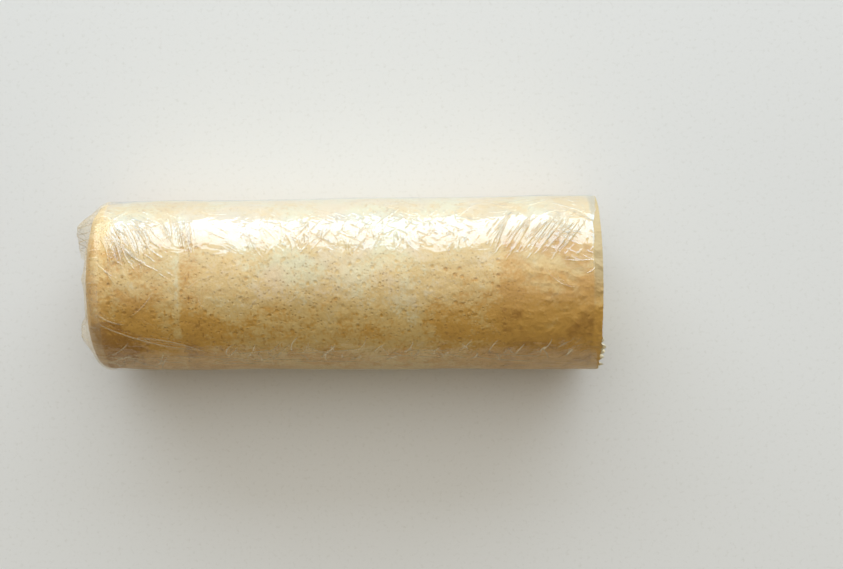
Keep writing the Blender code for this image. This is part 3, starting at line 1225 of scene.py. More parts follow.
    def _body(self, name: str, first: float, last: float) -> bpy.types.Object:
        """The long stretch between the slabs, with its skin divided finely.

        Args:
            name: The piece's name.
            first: Least X.
            last: Greatest X.

        Returns:
            The piece.
        """
        bm = merged_copy(self.node)
        keep_between(bm, first, last)
        shares = self._on_skin(np.array([vert.co for vert in bm.verts]), self.skin_depth)[2]
        skin = {vert for vert, share in zip(bm.verts, shares) if share > 0.5}
        edges = {
            edge
            for face in bm.faces
            if all(vert in skin for vert in face.verts) and abs(face.normal.x) < 0.5
            for edge in face.edges
        }
        bmesh.ops.subdivide_edges(bm, edges=list(edges), cuts=self.skin_cuts, use_grid_fill=True)
        bmesh.ops.triangulate(bm, faces=bm.faces)
        piece = new_piece(name, bm)
        self._put_on_skin(piece.data, self.skin_depth)
        return piece

    def _mark(self, mesh: bpy.types.Mesh) -> None:
        """Keeps what the finish reads: where the skin is baked, and how brown.

        Args:
            mesh: The piece's mesh.
        """
        points = read_points(mesh)
        x = points[:, 0]
        angle, inward, _ = self._on_skin(points, 0.001)
        to_skin = np.maximum(inward + self._relief(points), 0)
        to_end = x - self.roll.baked_end
        to_inner = np.full(len(points), 0.01)
        for i in np.flatnonzero(x > self.roll.cut_end - 0.009):
            found = self.inner_skin.find_nearest(Vector(points[i]), 0.004)
            if found[0] is not None:
                to_inner[i] = found[3]
        nearest = np.minimum(np.minimum(to_skin, to_end), to_inner)
        whole = 1 - smoothstep(x, self.roll.cut_end + 0.0001, self.roll.cut_end + 0.0007)
        turn = degrees(angle)
        write_values(mesh, "crust", smoothstep(nearest, 0.0014, 0.0001) * whole)
        write_values(mesh, "near_skin", smoothstep(to_skin, 0.0046, 0.0002) * whole)
        write_values(mesh, "browning_and_painted_light", self._tone_and_painted_light(points, turn))
        write_values(mesh, "wrinkled", smoothstep(to_end, 0.200, 0.222))
        write_values(mesh, "bare", self.roll.bare(x) * (smoothstep(turn, 114, 82) + behind(turn)))
        write_values(mesh, "around", round_arc(turn))

    def _tone_and_painted_light(self, points: np.ndarray, turn: np.ndarray) -> np.ndarray:
        """How brown the skin is painted: bands, a browner end, paler towards the window, browner below, and a
        lobe.

        Args:
            points: Rows of three.
            turn: Their angles in degrees.

        Returns:
            0 for pale to 1 for brown, and somewhat more in the darkest spots.
        """
        along = points[:, 0] - self.roll.baked_end
        back, bare = behind(turn), self.roll.bare(points[:, 0])
        places, tones = zip(*self.bands)
        tone = np.interp(MM * (along + 0.0018 * smooth_noise(points, 0.014, 5.0)), places, tones)
        # Painted light: the skin is painted paler on the side towards the window.
        tone *= 1 - 0.68 * (smoothstep(turn, 68, 34) + back)
        # Partly baked colour, partly painted shade: browner and darker on the side turned from the window and
        # underneath.
        tone += (0.42 - 0.24 * bare) * smoothstep(turn, 84, 126) * smoothstep(turn, 350, 300)
        tone -= 0.24 * bare * (smoothstep(turn, 98, 76) + back)
        tone += 0.36 * smoothstep(along, 0.036, 0.018) * (smoothstep(turn, 124, 144) - back)
        tone += 0.30 * smoothstep(along, 0.0075, 0.0010) * (smoothstep(turn, 128, 96) + back)
        # Partly the browned edge of the rolled sheet, partly painted shade: a browner lobe with a dark rim on
        # one side.
        lobe_x, lobe_turn = (along - 0.0105) / 0.0085, (turn - 129) / 12
        lobe = np.hypot(lobe_x, lobe_turn)
        rim = np.exp(-(((lobe - 1.0) / 0.12) ** 2)) * smoothstep(lobe_turn + lobe_x, 0.9, -0.3)
        beside = smoothstep(np.abs(along - 0.024), 0.016, 0.006) * smoothstep(np.abs(turn - 132), 14, 6)
        tone += 0.36 * smoothstep(lobe, 1.10, 0.7) + 0.9 * rim + 0.26 * beside * smoothstep(lobe, 0.9, 1.1)
        return np.clip(tone, 0, 1.5)


# ---------------------------------------------------------------- the filling


@dataclass
class Filling:
    """The cream and the ham: fine at the cut, and as the solids are behind it."""

    roll: Roll
    depth: float = 0.0080
    overlap: float = 0.0004
    cream_voxel: float = 0.00040
    ham_voxel: float = 0.00036
    cream_swell: float = 0.00046
    ham_swell: float = 0.00024
    clear: float = 0.010
    smear: float = 0.0016
    bit_seed: int = 11
    bit_apart: float = 0.0022

    def build(self) -> None:
        """Builds the cream, its chopped pieces and the ham, and dresses them."""
        cream = self._cream()
        self.roll.dress(cream, Node.CREAM, Slot.CREAM, CreamFinish("soft_cheese_cream").material())
        bits = self._bits()
        self.roll.dress(bits, Node.CREAM, Slot.CREAM, BitFinish("chopped_filling", 0.42).material())
        for node in (Node.HAM_INNER, Node.HAM_MIDDLE, Node.HAM_OUTER):
            self.roll.dress(self._ham(node), node, Slot.HAM, HamFinish("cooked_ham").material())

    def _front(self, node: bpy.types.Object, voxel: float, swell: float) -> bpy.types.Object:
        """A finely meshed front of a layer, rounded and a little swollen.

        Args:
            node: The layer's solid.
            voxel: Size of its faces.
            swell: How far it grows towards its neighbours.

        Returns:
            The front, not yet joined to the rest.
        """
        bm = merged_copy(node)
        keep_between(bm, self.roll.cut_end - self.depth, self.roll.cut_end + self.clear)
        front = remeshed("front", bm, voxel)
        smooth_across(front, 6)
        points, normals = read_points(front.data), read_normals(front.data)
        normals[:, 0] = 0
        write_points(front.data, points + normals * swell)
        return front

    def _joined(self, name: str, front: bpy.types.Object, node: bpy.types.Object) -> bpy.types.Object:
        """A layer's fine front with the plain layer behind it."""
        bm = merged_copy(node)
        keep_between(bm, -1.0, self.roll.cut_end - self.depth + self.overlap)
        return join(name, [front, new_piece("rest", bm)])

    def _cream(self) -> bpy.types.Object:
        """The cream, lumpy and smeared where the knife went through.

        Returns:
            The piece.
        """
        node = self.roll.nodes[Node.CREAM.value]
        front = self._front(node, self.cream_voxel, self.cream_swell)
        points = read_points(front.data)
        points[:, 0] = np.minimum(points[:, 0], self.roll.cut_end + 0.0001)
        facing = self.roll.near_cut(points[:, 0], 0.0012)
        lumps = 0.00085 * smooth_noise(points, 0.0036, 2.0) + 0.00035 * smooth_noise(points, 0.0014, 8.0)
        points[:, 0] += facing * (lumps + 0.00045)
        angle, radius = self.roll.axis.polar(points)
        normals = read_normals(front.data)
        out = normals[:, 1] * np.cos(angle) + normals[:, 2] * np.sin(angle)
        ragged = smooth_noise(points, 0.0032, 12.0) + 0.5 * smooth_noise(points, 0.0015, 15.0)
        smear = self.smear * smoothstep(out, 0.1, 0.7) * facing * np.clip(ragged + 0.25, -0.3, 1.2)
        write_points(front.data, self.roll.axis.place(angle, radius + smear, points[:, 0]))
        return self._joined("cream", front, node)

    def _bit_places(self) -> list[Vector]:
        """Where the solid's chopped pieces stand out of the cut.

        Returns:
            The middle of each.
        """
        bm = merged_copy(self.roll.nodes[Node.CREAM.value])
        found: list[list[Vector]] = []
        for vert in bm.verts:
            if vert.co.x < self.roll.cut_end + 0.0002:
                continue
            group = next((g for g in found if (g[0] - vert.co).length < self.bit_apart), None)
            if group is None:
                group = []
                found.append(group)
            group.append(vert.co.copy())
        bm.free()
        return [sum(group, Vector()) / len(group) for group in found]

    def _bits(self) -> bpy.types.Object:
        """Clusters of chopped pieces, half sunk in the cream.

        Returns:
            The piece.
        """
        draw = random.Random(self.bit_seed)
        bm = bmesh.new()
        tones: list[float] = []
        for place in self._bit_places():
            tone = draw.choice((0.35, 0.55, 0.65, 0.75))
            for i in range(draw.choice((3, 4, 5))):
                radius = draw.uniform(0.0011, 0.0017) if i == 0 else draw.uniform(0.0005, 0.0010)
                away = 0.0 if i == 0 else draw.uniform(0.0011, 0.0024)
                turn = draw.uniform(0, 2 * math.pi)
                at = place + Vector((0, away * math.cos(turn), away * math.sin(turn)))
                at.x = self.roll.cut_end + 0.0007 - 0.45 * radius
                sizes = (draw.uniform(0.6, 0.9), draw.uniform(0.8, 1.4), draw.uniform(0.8, 1.4))
                spun = Matrix.Rotation(draw.uniform(0, math.pi), 4, "X")
                matrix = Matrix.Translation(at) @ spun @ Matrix.Diagonal((*sizes, 1))
                made = bmesh.ops.create_icosphere(bm, subdivisions=3, radius=radius, matrix=matrix)["verts"]
                for vert in made:
                    rough = noise.noise(vert.co / 0.0009) * 0.30 + noise.noise(vert.co / 0.0004) * 0.12
                    vert.co += (vert.co - at) * rough
                tones += [tone + draw.uniform(-0.12, 0.12)] * len(made)
        piece = new_piece("chopped_bits", bm)
        write_values(piece.data, "tone", np.array(tones))
        return piece

    def _ham(self, kind: Node) -> bpy.types.Object:
        """One slice of ham, which keeps 'edge', 1 at its faces and 0 in its middle.

        Args:
            kind: Which slice.

        Returns:
            The piece.
        """
        node = self.roll.nodes[kind.value]
        front = self._front(node, self.ham_voxel, self.ham_swell)
        points = read_points(front.data)
        uneven = 0.00028 * smooth_noise(points, 0.0060, 4.0) + 0.00010 * smooth_noise(points, 0.0015, 6.0)
        points[:, 0] += self.roll.near_cut(points[:, 0], 0.0010) * (uneven + 0.0001)
        write_points(front.data, points)
        piece = self._joined(kind.value + "_slice", front, node)
        tree = search_tree(merged_copy(node), lambda face: abs(face.normal.x) > 0.5)
        away = np.array([tree.find_nearest(Vector(p))[3] for p in read_points(piece.data)])
        write_values(piece.data, "edge", smoothstep(away, 0.00060, 0.00015))
        return piece


# ---------------------------------------------------------------- the film


@dataclass(frozen=True)
class Crease:
    """One crease of the film.

    It runs from and to a place past the baked end and an angle round the roll. Lengths are in millimetres and
    angles in degrees.
    """

    start: Span
    end: Span
    bend: float
    height: float
    width: float
    # Painted highlight: how much whiter the film is along the crease.
    haze: float

    def curve(self) -> np.ndarray:
        """The crease's course over the flat sheet: rows of a place along X and one round the roll.

        Returns:
            Its points.
        """
        arc = math.radians(1) * MM * SHEET_RADIUS
        start, end = (np.array([x, turn * arc]) for x, turn in (self.start, self.end))
        heading = (end - start) / np.linalg.norm(end - start)
        pull = (start + end) / 2 + 2 * self.bend * np.array([-heading[1], heading[0]])
        steps = np.linspace(0, 1, 15)[:, None]
        return (1 - steps) ** 2 * start + 2 * steps * (1 - steps) * pull + steps**2 * end

    def around(self, spots: np.ndarray) -> np.ndarray:
        """Which spots of the flat sheet may lie on the crease."""
        curve, reach = self.curve(), 4 * self.width
        return ((spots > curve.min(axis=0) - reach) & (spots < curve.max(axis=0) + reach)).all(axis=1)

    def measure(self, spots: np.ndarray) -> tuple[np.ndarray, np.ndarray, np.ndarray]:
        """Where spots of the flat sheet lie from the crease.

        Args:
            spots: Rows of two.

        Returns:
            Each spot's distance, how far along the crease it is, from 0 to 1, and its side of it, -1 or 1.
        """
        curve = self.curve()
        best, along, side = np.full(len(spots), np.inf), np.zeros(len(spots)), np.ones(len(spots))
        for k in range(len(curve) - 1):
            step = curve[k + 1] - curve[k]
            share = np.clip(((spots - curve[k]) @ step) / (step @ step), 0, 1)
            offset = spots - curve[k] - share[:, None] * step
            away = np.linalg.norm(offset, axis=1)
            closer = away < best
            best = np.where(closer, away, best)
            along = np.where(closer, (k + share) / (len(curve) - 1), along)
            side = np.where(closer, np.sign(step[0] * offset[:, 1] - step[1] * offset[:, 0]), side)
        return best, along, side


@dataclass(frozen=True)
class CreaseFamily:
    """Like creases in one region, drawn by a seeded rule, in millimetres and degrees."""

    seed: int
    count: int
    x: Span
    angle: Span
    run: Span
    rise: Span
    bend: float
    height: Span = (0.15, 0.4)
    width: Span = (0.4, 0.7)
    # Painted highlight: how much whiter the film is along these creases.
    haze: float = 0.10

    def creases(self) -> list[Crease]:
        """The family's creases.

        Returns:
            Creases spread evenly over the region with seeded differences.
        """
        draw = random.Random(self.seed)
        made = []
        for i in range(self.count):
            x = self.x[0] + (self.x[1] - self.x[0]) * (i + draw.random()) / self.count
            angle = draw.uniform(*self.angle)
            end = (x + draw.uniform(*self.run), angle + draw.uniform(*self.rise))
            bend = draw.uniform(-1, 1) * self.bend
            height, width = draw.uniform(*self.height), draw.uniform(*self.width)
            made.append(Crease((x, angle), end, bend, height, width, self.haze * draw.uniform(0.5, 1.3)))
        return made


# The larger creases, one by one.
SINGLE_CREASES = (
    Crease((1, 46), (13, 78), -3, 0.60, 0.6, 0.25),
    Crease((4, 44), (19, 80), -4, 0.55, 0.6, 0.20),
    Crease((18, 42), (28, 78), -3, 0.55, 0.6, 0.18),
    Crease((21, 44), (33, 70), -2, 0.45, 0.5, 0.15),
    Crease((12, 34), (3, 58), -2, 0.45, 0.6, 0.18),
    Crease((20, 30), (10, 48), 2, 0.35, 0.5, 0.12),
    Crease((2, 142), (16, 160), 1, 0.35, 0.5, 0.30),
    Crease((3, 158), (22, 143), 1, 0.35, 0.5, 0.30),
    Crease((6, 148), (30, 152), -1, 0.35, 0.5, 0.26),
    Crease((30, 165), (37, 142), 1, 0.35, 0.5, 0.28),
    Crease((34, 166), (40, 144), -1, 0.35, 0.5, 0.24),
    Crease((58, 150), (95, 158), -1, 0.30, 0.5, 0.22),
    Crease((80, 156), (100, 134), 2, 0.30, 0.5, 0.18),
    Crease((106, 134), (128, 150), 1, 0.30, 0.5, 0.16),
    Crease((20, 48), (42, 38), 3, 0.30, 0.5, 0.10),
    Crease((42, 146), (120, 152), 1, 0.30, 0.5, 0.20),
    Crease((7, 43), (40, 82), 4, 0.55, 0.6, 0.22),
    Crease((2, 72), (16, 90), -2, 0.50, 0.6, 0.22),
    Crease((4, 106), (20, 118), 2, 0.40, 0.6, 0.20),
    Crease((1, 112), (58, 140), 4, 0.45, 0.6, 0.24),
    Crease((22, 128), (62, 144), -3, 0.40, 0.6, 0.22),
    Crease((23, 112), (35, 94), 1, 0.30, 0.6, 0.12),
    Crease((226, 80), (242, 94), 2.5, 0.35, 0.6, 0.10),
    Crease((236, 74.5), (250.5, 74.5), 0.3, 0.42, 0.5, 0.20),
    Crease((246, 84), (250.5, 80), 0.6, 0.42, 0.5, 0.20),
)

# The small ones, by region: on the back, at the cut, on the front, under the roll, and pale ones in front.
CREASE_FAMILIES = (
    CreaseFamily(21, 8, (26, 41), (38, 50), (3, 9), (10, 24), 3, (0.2, 0.4), (0.3, 0.4), 0.08),
    CreaseFamily(22, 9, (55, 82), (46, 64), (3, 9), (4, 12), 3, (0.2, 0.3), (0.3, 0.4), 0.06),
    CreaseFamily(3, 9, (6, 22), (38, 50), (4, 12), (18, 34), 4, (0.3, 0.6)),
    CreaseFamily(4, 7, (39, 52), (34, 42), (3, 6), (24, 34), 0.8, (0.4, 0.6), (0.35, 0.5)),
    CreaseFamily(5, 7, (78, 108), (38, 52), (2, 9), (10, 24), 4, (0.2, 0.4)),
    CreaseFamily(6, 34, (105, 190), (34, 58), (-6, 8), (5, 18), 3, (0.2, 0.4), (0.3, 0.5)),
    CreaseFamily(16, 18, (100, 190), (38, 64), (4, 10), (-8, 3), 3, (0.2, 0.4), (0.3, 0.5)),
    CreaseFamily(7, 12, (198, 236), (64, 76), (10, 18), (-38, -24), 0.8, (0.4, 0.7), (0.4, 0.6), 0.12),
    CreaseFamily(17, 7, (196, 228), (50, 60), (8, 14), (-26, -14), 1, (0.3, 0.5), (0.3, 0.5)),
    CreaseFamily(8, 12, (225, 242), (28, 66), (6, 13), (-6, 10), 2, (0.2, 0.5)),
    CreaseFamily(9, 12, (180, 235), (16, 40), (8, 20), (-12, -2), 1, (0.2, 0.4)),
    CreaseFamily(10, 16, (10, 210), (140, 158), (10, 40), (-6, 8), 3, (0.2, 0.4), haze=0.22),
    CreaseFamily(11, 12, (228, 246), (132, 146), (4, 10), (-7, -2), 1, (0.1, 0.3)),
    CreaseFamily(12, 14, (2, 30), (136, 168), (4, 14), (-20, 20), 2, (0.3, 0.6), haze=0.25),
    CreaseFamily(13, 10, (20, 200), (88, 125), (4, 16), (-14, 14), 2, (0.1, 0.2), haze=0.06),
    CreaseFamily(14, 20, (10, 240), (200, 340), (10, 40), (-12, 12), 4, (0.1, 0.3), haze=0.15),
    CreaseFamily(15, 14, (10, 220), (2, 30), (6, 20), (4, 14), 3, (0.1, 0.3), haze=0.08),
    CreaseFamily(23, 26, (60, 244), (141, 152), (3, 9), (-16, -6), 2, (0.1, 0.2), (0.5, 0.7), 0.34),
    CreaseFamily(24, 14, (75, 240), (134, 146), (1, 6), (4, 12), 2, (0.1, 0.2), (0.4, 0.6), 0.28),
)


@dataclass(frozen=True)
class EndFold:
    """A fold of the film that stands off the baked end: its angle and reach in degrees, and its height."""

    angle: float
    reach: float
    height: float


@dataclass
class Film:
    """The cling film: one thin sheet round the roll, drawn in over the baked end, open short of the cut."""

    roll: Roll
    columns_on_side: int = 372
    columns_on_end: int = 54
    row_radius: float = 0.0435
    inset: float = 0.00012
    stand_off: float = 0.0006
    lowest: float = 0.0001
    weld: float = 1e-6
    back_height: float = 0.07
    bare: float = 0.0040
    rim_share: float = 0.3
    high_fold: float = 0.0035
    mesh_lift: float = 0.35
    drawn_lift: float = 0.55
    standing: tuple[EndFold, ...] = (
        EndFold(31, 18, 0.0066),
        EndFold(84, 15, 0.0016),
        EndFold(138, 20, 0.0038),
        EndFold(206, 20, 0.0026),
        EndFold(262, 15, 0.0014),
        EndFold(322, 18, 0.0022),
    )
    finish: FilmFinish = field(default_factory=lambda: FilmFinish("clear_cling_film", 0.06))

    # Where the sheet's rows lie round the roll: from an angle in degrees, and how far apart, in metres.
    row_bands = ((-12.0, 0.00125), (22.0, 0.00050), (84.0, 0.00080), (178.0, 0.0042), (348.0, 0.0))
    # The open edge's torn waves: size in metres, how many go round the roll, and shift.
    edge_waves = ((0.00030, 5, 1.0), (0.00022, 17, 0.4), (0.00014, 41, 0.0))

    def build(self) -> None:
        """Builds the film from a grid that is wrapped round the roll, and dresses it."""
        around = self._row_angles()
        side = np.linspace(0, 1, self.columns_on_side, endpoint=False)
        columns = np.concatenate([side, np.linspace(1, 2, self.columns_on_end)])
        bm = bmesh.new()
        bmesh.ops.create_grid(bm, x_segments=len(columns) - 1, y_segments=len(around) - 1, size=0.5)
        piece = new_piece("film", bm)
        flat = read_points(piece.data)
        i = np.rint((flat[:, 0] + 0.5) * (len(columns) - 1)).astype(int)
        j = np.rint((flat[:, 1] + 0.5) * (len(around) - 1)).astype(int)
        points, kept = self._sheet(columns[i], np.radians(around[j]))
        points[:, 2] = np.maximum(points[:, 2], self.lowest)
        write_points(piece.data, points)
        for name, values in kept.items():
            write_values(piece.data, name, values)
        with edited(piece.data) as bm:
            bmesh.ops.remove_doubles(bm, verts=bm.verts, dist=self.weld)
            bmesh.ops.recalc_face_normals(bm, faces=bm.faces)
            top = [face for face in bm.faces if face.calc_center_median().z > self.back_height]
            if sum(face.normal.z for face in top) < 0:
                bmesh.ops.reverse_faces(bm, faces=bm.faces)
        piece.data.shade_smooth()
        self.roll.dress(piece, Node.FILM, Slot.FILM, self.finish.material())

    def _row_angles(self) -> np.ndarray:
        """Angles of the sheet's rows in degrees, close where it is creased.

        Returns:
            The angles; the last is a full turn past the first.
        """
        angles: list[float] = []
        for (start, apart), (end, _) in zip(self.row_bands, self.row_bands[1:]):
            count = max(1, round(math.radians(end - start) * self.row_radius / apart))
            angles += [start + (end - start) * k / count for k in range(count)]
        return np.array([*angles, self.row_bands[0][0] + 360.0])

    def _edge(self, angle: np.ndarray) -> np.ndarray:
        """Where along X the open edge runs, in and out by small torn waves."""
        wave = sum(size * np.sin(count * angle + shift) for size, count, shift in self.edge_waves)
        back = smoothstep(degrees(angle), 16, 52) * smoothstep(degrees(angle), 154, 128)
        return self.roll.cut_end - self.bare * (0.20 + 0.80 * back) - wave

    def _sheet(self, share: np.ndarray, angle: np.ndarray) -> tuple[np.ndarray, dict[str, np.ndarray]]:
        """Places every point of the sheet.

        Args:
            share: The points' columns: 0 at the open edge, 1 at the rim of the baked end, 2 at its middle.
            angle: Angles in radians.

        Returns:
            The points, and what the finish reads of each.
        """
        rim = self.roll.rim_round
        rim_x = self.roll.baked_end + rim
        on_side = share <= 1
        edge = self._edge(angle)
        x = np.where(on_side, edge + (rim_x - edge) * np.minimum(share, 1), rim_x)
        radius = self.roll.film.radius(angle, x) - self.inset
        past = np.maximum(share - 1, 0)
        around_rim = np.minimum(past / self.rim_share, 1)
        over_end = np.clip((past - self.rim_share) / (1 - self.rim_share), 0, 1)
        turn = around_rim * math.pi / 2
        folds = self._folds(angle, over_end, around_rim)
        lift, kept = self._creased(x, angle, on_side)
        on_rim = radius - rim * (1 - np.cos(turn)) + lift
        radius = np.where(over_end > 0, (radius - rim) * (1 - over_end), on_rim)
        place = np.where(on_side, x, rim_x - (rim + self.stand_off) * np.sin(turn) - folds)
        raised = np.clip(folds / self.high_fold, 0, 1) * smoothstep(over_end, 0.50, 0.25)
        contour = 9 * over_end + 0.4 + 0.22 * np.sin(3 * angle)
        on_end = {
            "crease_side": 3.1 * np.sin(math.pi * contour),
            "crease_lift": 0.25 * raised,
            # Painted highlight along the raised folds over the baked end.
            "crease_haze": 0.75 * raised,
            "haze": kept["haze"] + 0.03 * (1 + raised) + 0.20 * smoothstep(over_end, 0.12, 0.0),
            "layers": 0.45,
        }
        kept = {name: np.where(on_side, kept[name], values) for name, values in on_end.items()}
        kept |= {"along": x - 0.02 * over_end, "around": round_arc(np.degrees(angle))}
        return self.roll.axis.place(angle, radius, place), kept | self._pleated(x, angle, on_side)

    def _folds(self, angle: np.ndarray, over_end: np.ndarray, around_rim: np.ndarray) -> np.ndarray:
        """How far the film stands off the baked end.

        Args:
            angle: Angles in radians.
            over_end: 0 at the rim to 1 at the middle.
            around_rim: 0 on the side to 1 on the end.

        Returns:
            Heights in metres.
        """
        height = np.zeros(len(angle))
        for fold in self.standing:
            away = np.abs((np.degrees(angle) - fold.angle + 180) % 360 - 180)
            form = 0.6 * smoothstep(away, fold.reach, 0) + 0.4 * smoothstep(away, 0.45 * fold.reach, 0)
            height += fold.height * form
        twist = angle + 0.9 * over_end
        pleats = 1 - np.abs(np.sin(8.5 * twist + 0.8 * np.sin(3 * angle)))
        small = 1 - np.abs(np.sin(19 * angle - 2.2 * over_end))
        spread = smoothstep(over_end, 0.85, 0.35) * around_rim**1.5
        body = smoothstep(over_end, -0.05, 0.25) * smoothstep(over_end, 1.0, 0.7)
        return height * spread + body * (0.0012 * pleats**2 + 0.0005 * small**2)

    def _creased(
        self, x: np.ndarray, angle: np.ndarray, on_side: np.ndarray
    ) -> tuple[np.ndarray, dict[str, np.ndarray]]:
        """Height that the creases add to the mesh, and what the finish reads to draw them sharply.

        Args:
            x: Places along X.
            angle: Angles in radians.
            on_side: Which points lie on the roll's side.

        Returns:
            Heights in metres, and for each point its distance to the nearest crease in crease widths, with a
            sign for the side it is on, that crease's height in millimetres and its haze, a painted highlight,
            and the film's own haze and layers.
        """
        spots = MM * np.stack([x - self.roll.baked_end, angle * SHEET_RADIUS], axis=1)
        lift, fine_lift, white, strongest = np.zeros((4, len(x)))
        away = np.full(len(x), 4.0)
        creases = [*SINGLE_CREASES, *(crease for family in CREASE_FAMILIES for crease in family.creases())]
        for crease in creases:
            near = np.flatnonzero(crease.around(spots) & on_side)
            distance, along, side = crease.measure(spots[near])
            widths = distance / crease.width
            high = crease.height * np.sin(np.pi * np.clip(along, 0, 1)) ** 0.6
            lift[near] = np.maximum(lift[near], high * np.exp(-((widths / 1.3) ** 2)))
            reached = smoothstep(widths, 3.6, 2.2)
            share = high / (1 + widths**2) * reached
            own = share > strongest[near]
            taken = near[own]
            strongest[taken] = share[own]
            away[taken] = (side * widths)[own]
            fine_lift[taken] = (high * reached)[own]
            white[taken] = (crease.haze / crease.height * high * reached)[own]
        turn = np.degrees(angle)
        kept = {"crease_side": away, "crease_lift": self.drawn_lift * fine_lift}
        # Painted highlight along the creases, stronger past the top, on the side turned from the window.
        kept["crease_haze"] = white * (1.8 + smoothstep(turn, 90, 110))
        return self.mesh_lift * lift / MM, kept | self._veiled(x, turn)

    def _veiled(self, x: np.ndarray, turn: np.ndarray) -> dict[str, np.ndarray]:
        """How white the film is between its creases, with painted sheen, and how many layers it seems to
        have.

        Args:
            x: Places along X.
            turn: Angles in degrees.

        Returns:
            Its haze and its layers.
        """
        back = behind(turn)
        along = x - self.roll.baked_end
        brink = 139.5 + 5 * ((along - 0.15) / 0.12) ** 2
        brink += 0.8 * np.sin(along / 0.0062) + 0.5 * np.sin(along / 0.0023)
        slack = smoothstep(turn - brink, -0.8, 1.2) * smoothstep(turn, 190, 172)
        # Partly the film's own haze; the 0.04 term is painted sheen on the side towards the window.
        haze = 0.008 + 0.085 * slack + 0.04 * (smoothstep(turn, 48, 28) + back)
        haze += 0.24 * smoothstep(along, 0.0135, 0.0030) * (smoothstep(turn, 150, 135) + back)
        uneven = 5 * np.sin(x / 0.011) + 3 * np.sin(x / 0.0041 + 1)
        # The layers below are low on the underside turned from the window and high towards it; besides the
        # mirror's strength, they pick the film's painted warmer and cooler tints.
        doubled = smoothstep(turn + uneven, 33, 42) * smoothstep(turn + uneven, 82, 70)
        layers = 0.97 + 0.43 * doubled - 0.77 * (smoothstep(turn, 92, 124) - back) + 0.16 * slack
        layers += 0.22 * (smoothstep(turn, 66, 50) + back)
        crumpled = smoothstep(along + 0.0012 * np.sin(turn / 4), 0.0145, 0.0090)
        layers *= 1 - 0.72 * crumpled * (smoothstep(turn, 30, 42) - back)
        return {"haze": haze, "layers": layers}

    def _pleated(self, x: np.ndarray, angle: np.ndarray, on_side: np.ndarray) -> dict[str, np.ndarray]:
        """Where each kind of pleat lies.

        Args:
            x: Places along X.
            angle: Angles in radians.
            on_side: Which points lie on the roll's side.

        Returns:
            A mask from 0 to 1 for each kind.
        """
        along = x - self.roll.baked_end
        turn = np.degrees(angle)

        def patch(middle: float, reach: float, lean: float, low: float, high: float) -> np.ndarray:
            """A soft-edged patch whose middle leans along X as the angle grows."""
            away = np.abs(along - middle - lean * (turn - 50))
            inside = smoothstep(away, reach + 0.004, reach - 0.003) * on_side
            return inside * smoothstep(turn, low - 6, low + 4) * smoothstep(turn, high + 5, high - 3)

        chaos = patch(0.150, 0.042, 0.0, 30, 66) + 0.6 * patch(0.092, 0.018, 0.0, 36, 66)
        edge = patch(0.243, 0.012, 0.0, 18, 72)
        return {
            "crinkle": np.clip(chaos + edge + 0.5 * (~on_side), 0, 1),
            "streaks": patch(0.216, 0.019, -0.00042, 20, 72),
            "drawn": patch(0.016, 0.020, 0.0003, 30, 84) + 0.5 * (~on_side),
            "slack": smoothstep(turn, 133, 142) * smoothstep(turn, 185, 160) * on_side,
        }


# ---------------------------------------------------------------- the set


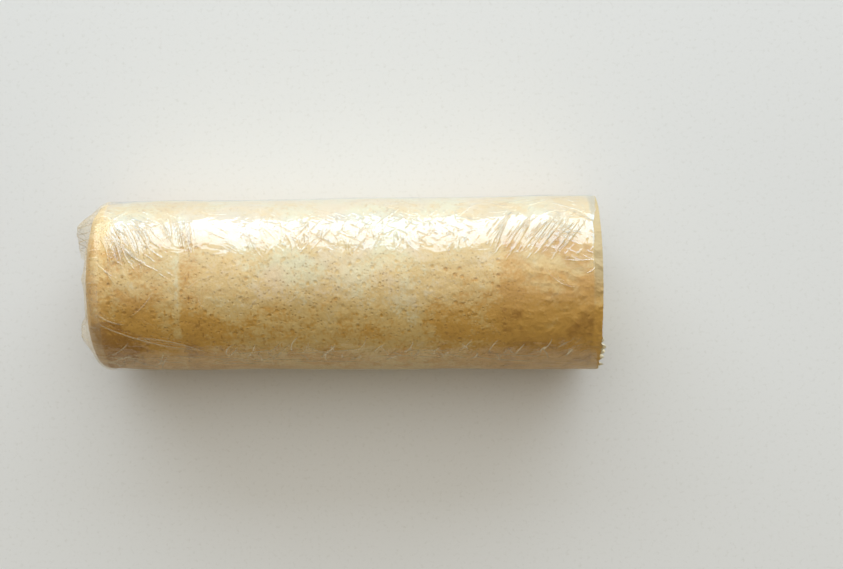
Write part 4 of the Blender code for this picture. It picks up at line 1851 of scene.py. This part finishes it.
@dataclass(frozen=True)
class Studio:
    """Floor, lights and camera."""

    camera_at: Colour = (0.0421, -0.0005, 0.85)
    camera_turn: float = -0.45
    lens: float = 67.2
    window_away: float = 1.25
    window_height: float = 1.15
    window_width: float = 2.8
    window_power: float = 24.5
    window_colour: Colour = (0.80, 0.94, 1.11)
    backdrop: Colour = (0.760, 0.760, 0.745)
    floor_reach: float = 3.0
    sky_tilt: float = 60.0
    sky_falloff: float = 3.0
    sky_near: Colour = (1.62, 1.60, 1.53)
    sky_far: Colour = (0.110, 0.085, 0.030)

    def build(self) -> None:
        """Sets up all three."""
        self._floor()
        self._window()
        self._sky()
        self._camera()
        bpy.context.scene.view_settings.view_transform = "Standard"

    def _floor(self) -> None:
        """The worktop that the roll lies on."""
        bm = bmesh.new()
        bmesh.ops.create_grid(bm, x_segments=2, y_segments=2, size=self.floor_reach)
        floor = new_piece("floor", bm)
        floor.data.materials.append(FloorFinish("pale_worktop", 0.5).material())

    def _window(self) -> None:
        """A tall soft light at +Y, standing on the floor."""
        light = bpy.data.lights.new("window", "AREA")
        light.shape = "RECTANGLE"
        light.size, light.size_y = self.window_width, self.window_height
        light.energy = self.window_power
        light.color = self.window_colour
        window = bpy.data.objects.new("window", light)
        window.location = (0.0, self.window_away, self.window_height / 2)
        window.rotation_euler = (math.radians(-90), 0, 0)
        window.visible_camera = False
        bpy.context.scene.collection.objects.link(window)

    def _sky(self) -> None:
        """Soft light from all round, brighter over the window and darker behind the roll."""
        world = bpy.data.worlds.new("room")
        bpy.context.scene.world = world
        world.use_nodes = True
        graph = Graph(world.node_tree)
        tilt = math.radians(self.sky_tilt)
        heading = graph.value("ShaderNodeTexCoord", out="Generated")
        towards = {0: heading, 1: (0.0, math.cos(tilt), math.sin(tilt))}
        along = graph.value("ShaderNodeVectorMath", towards, "Value", operation="DOT_PRODUCT")
        share = graph.math("MAXIMUM", along, 0.0) ** self.sky_falloff
        light = graph.blend(share, self.sky_far, self.sky_near)
        seen = graph.value("ShaderNodeLightPath", out="Is Camera Ray")
        graph.feed(world.node_tree.nodes["Background"].inputs[0], graph.blend(seen, light, self.backdrop))

    def _camera(self) -> None:
        """The camera, straight above the roll."""
        data = bpy.data.cameras.new("camera")
        data.lens = self.lens
        camera = bpy.data.objects.new("camera", data)
        camera.location = self.camera_at
        camera.rotation_euler = (0, 0, math.radians(self.camera_turn))
        bpy.context.scene.collection.objects.link(camera)
        bpy.context.scene.camera = camera


def main() -> None:
    """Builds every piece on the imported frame, in order."""
    logging.basicConfig(level=logging.INFO, format="%(message)s")
    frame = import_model()
    Studio().build()
    roll = Roll(frame["nodes"])
    for assembly in (Sponge(roll), Filling(roll), Film(roll)):
        assembly.build()


if __name__ == "__main__":
    main()
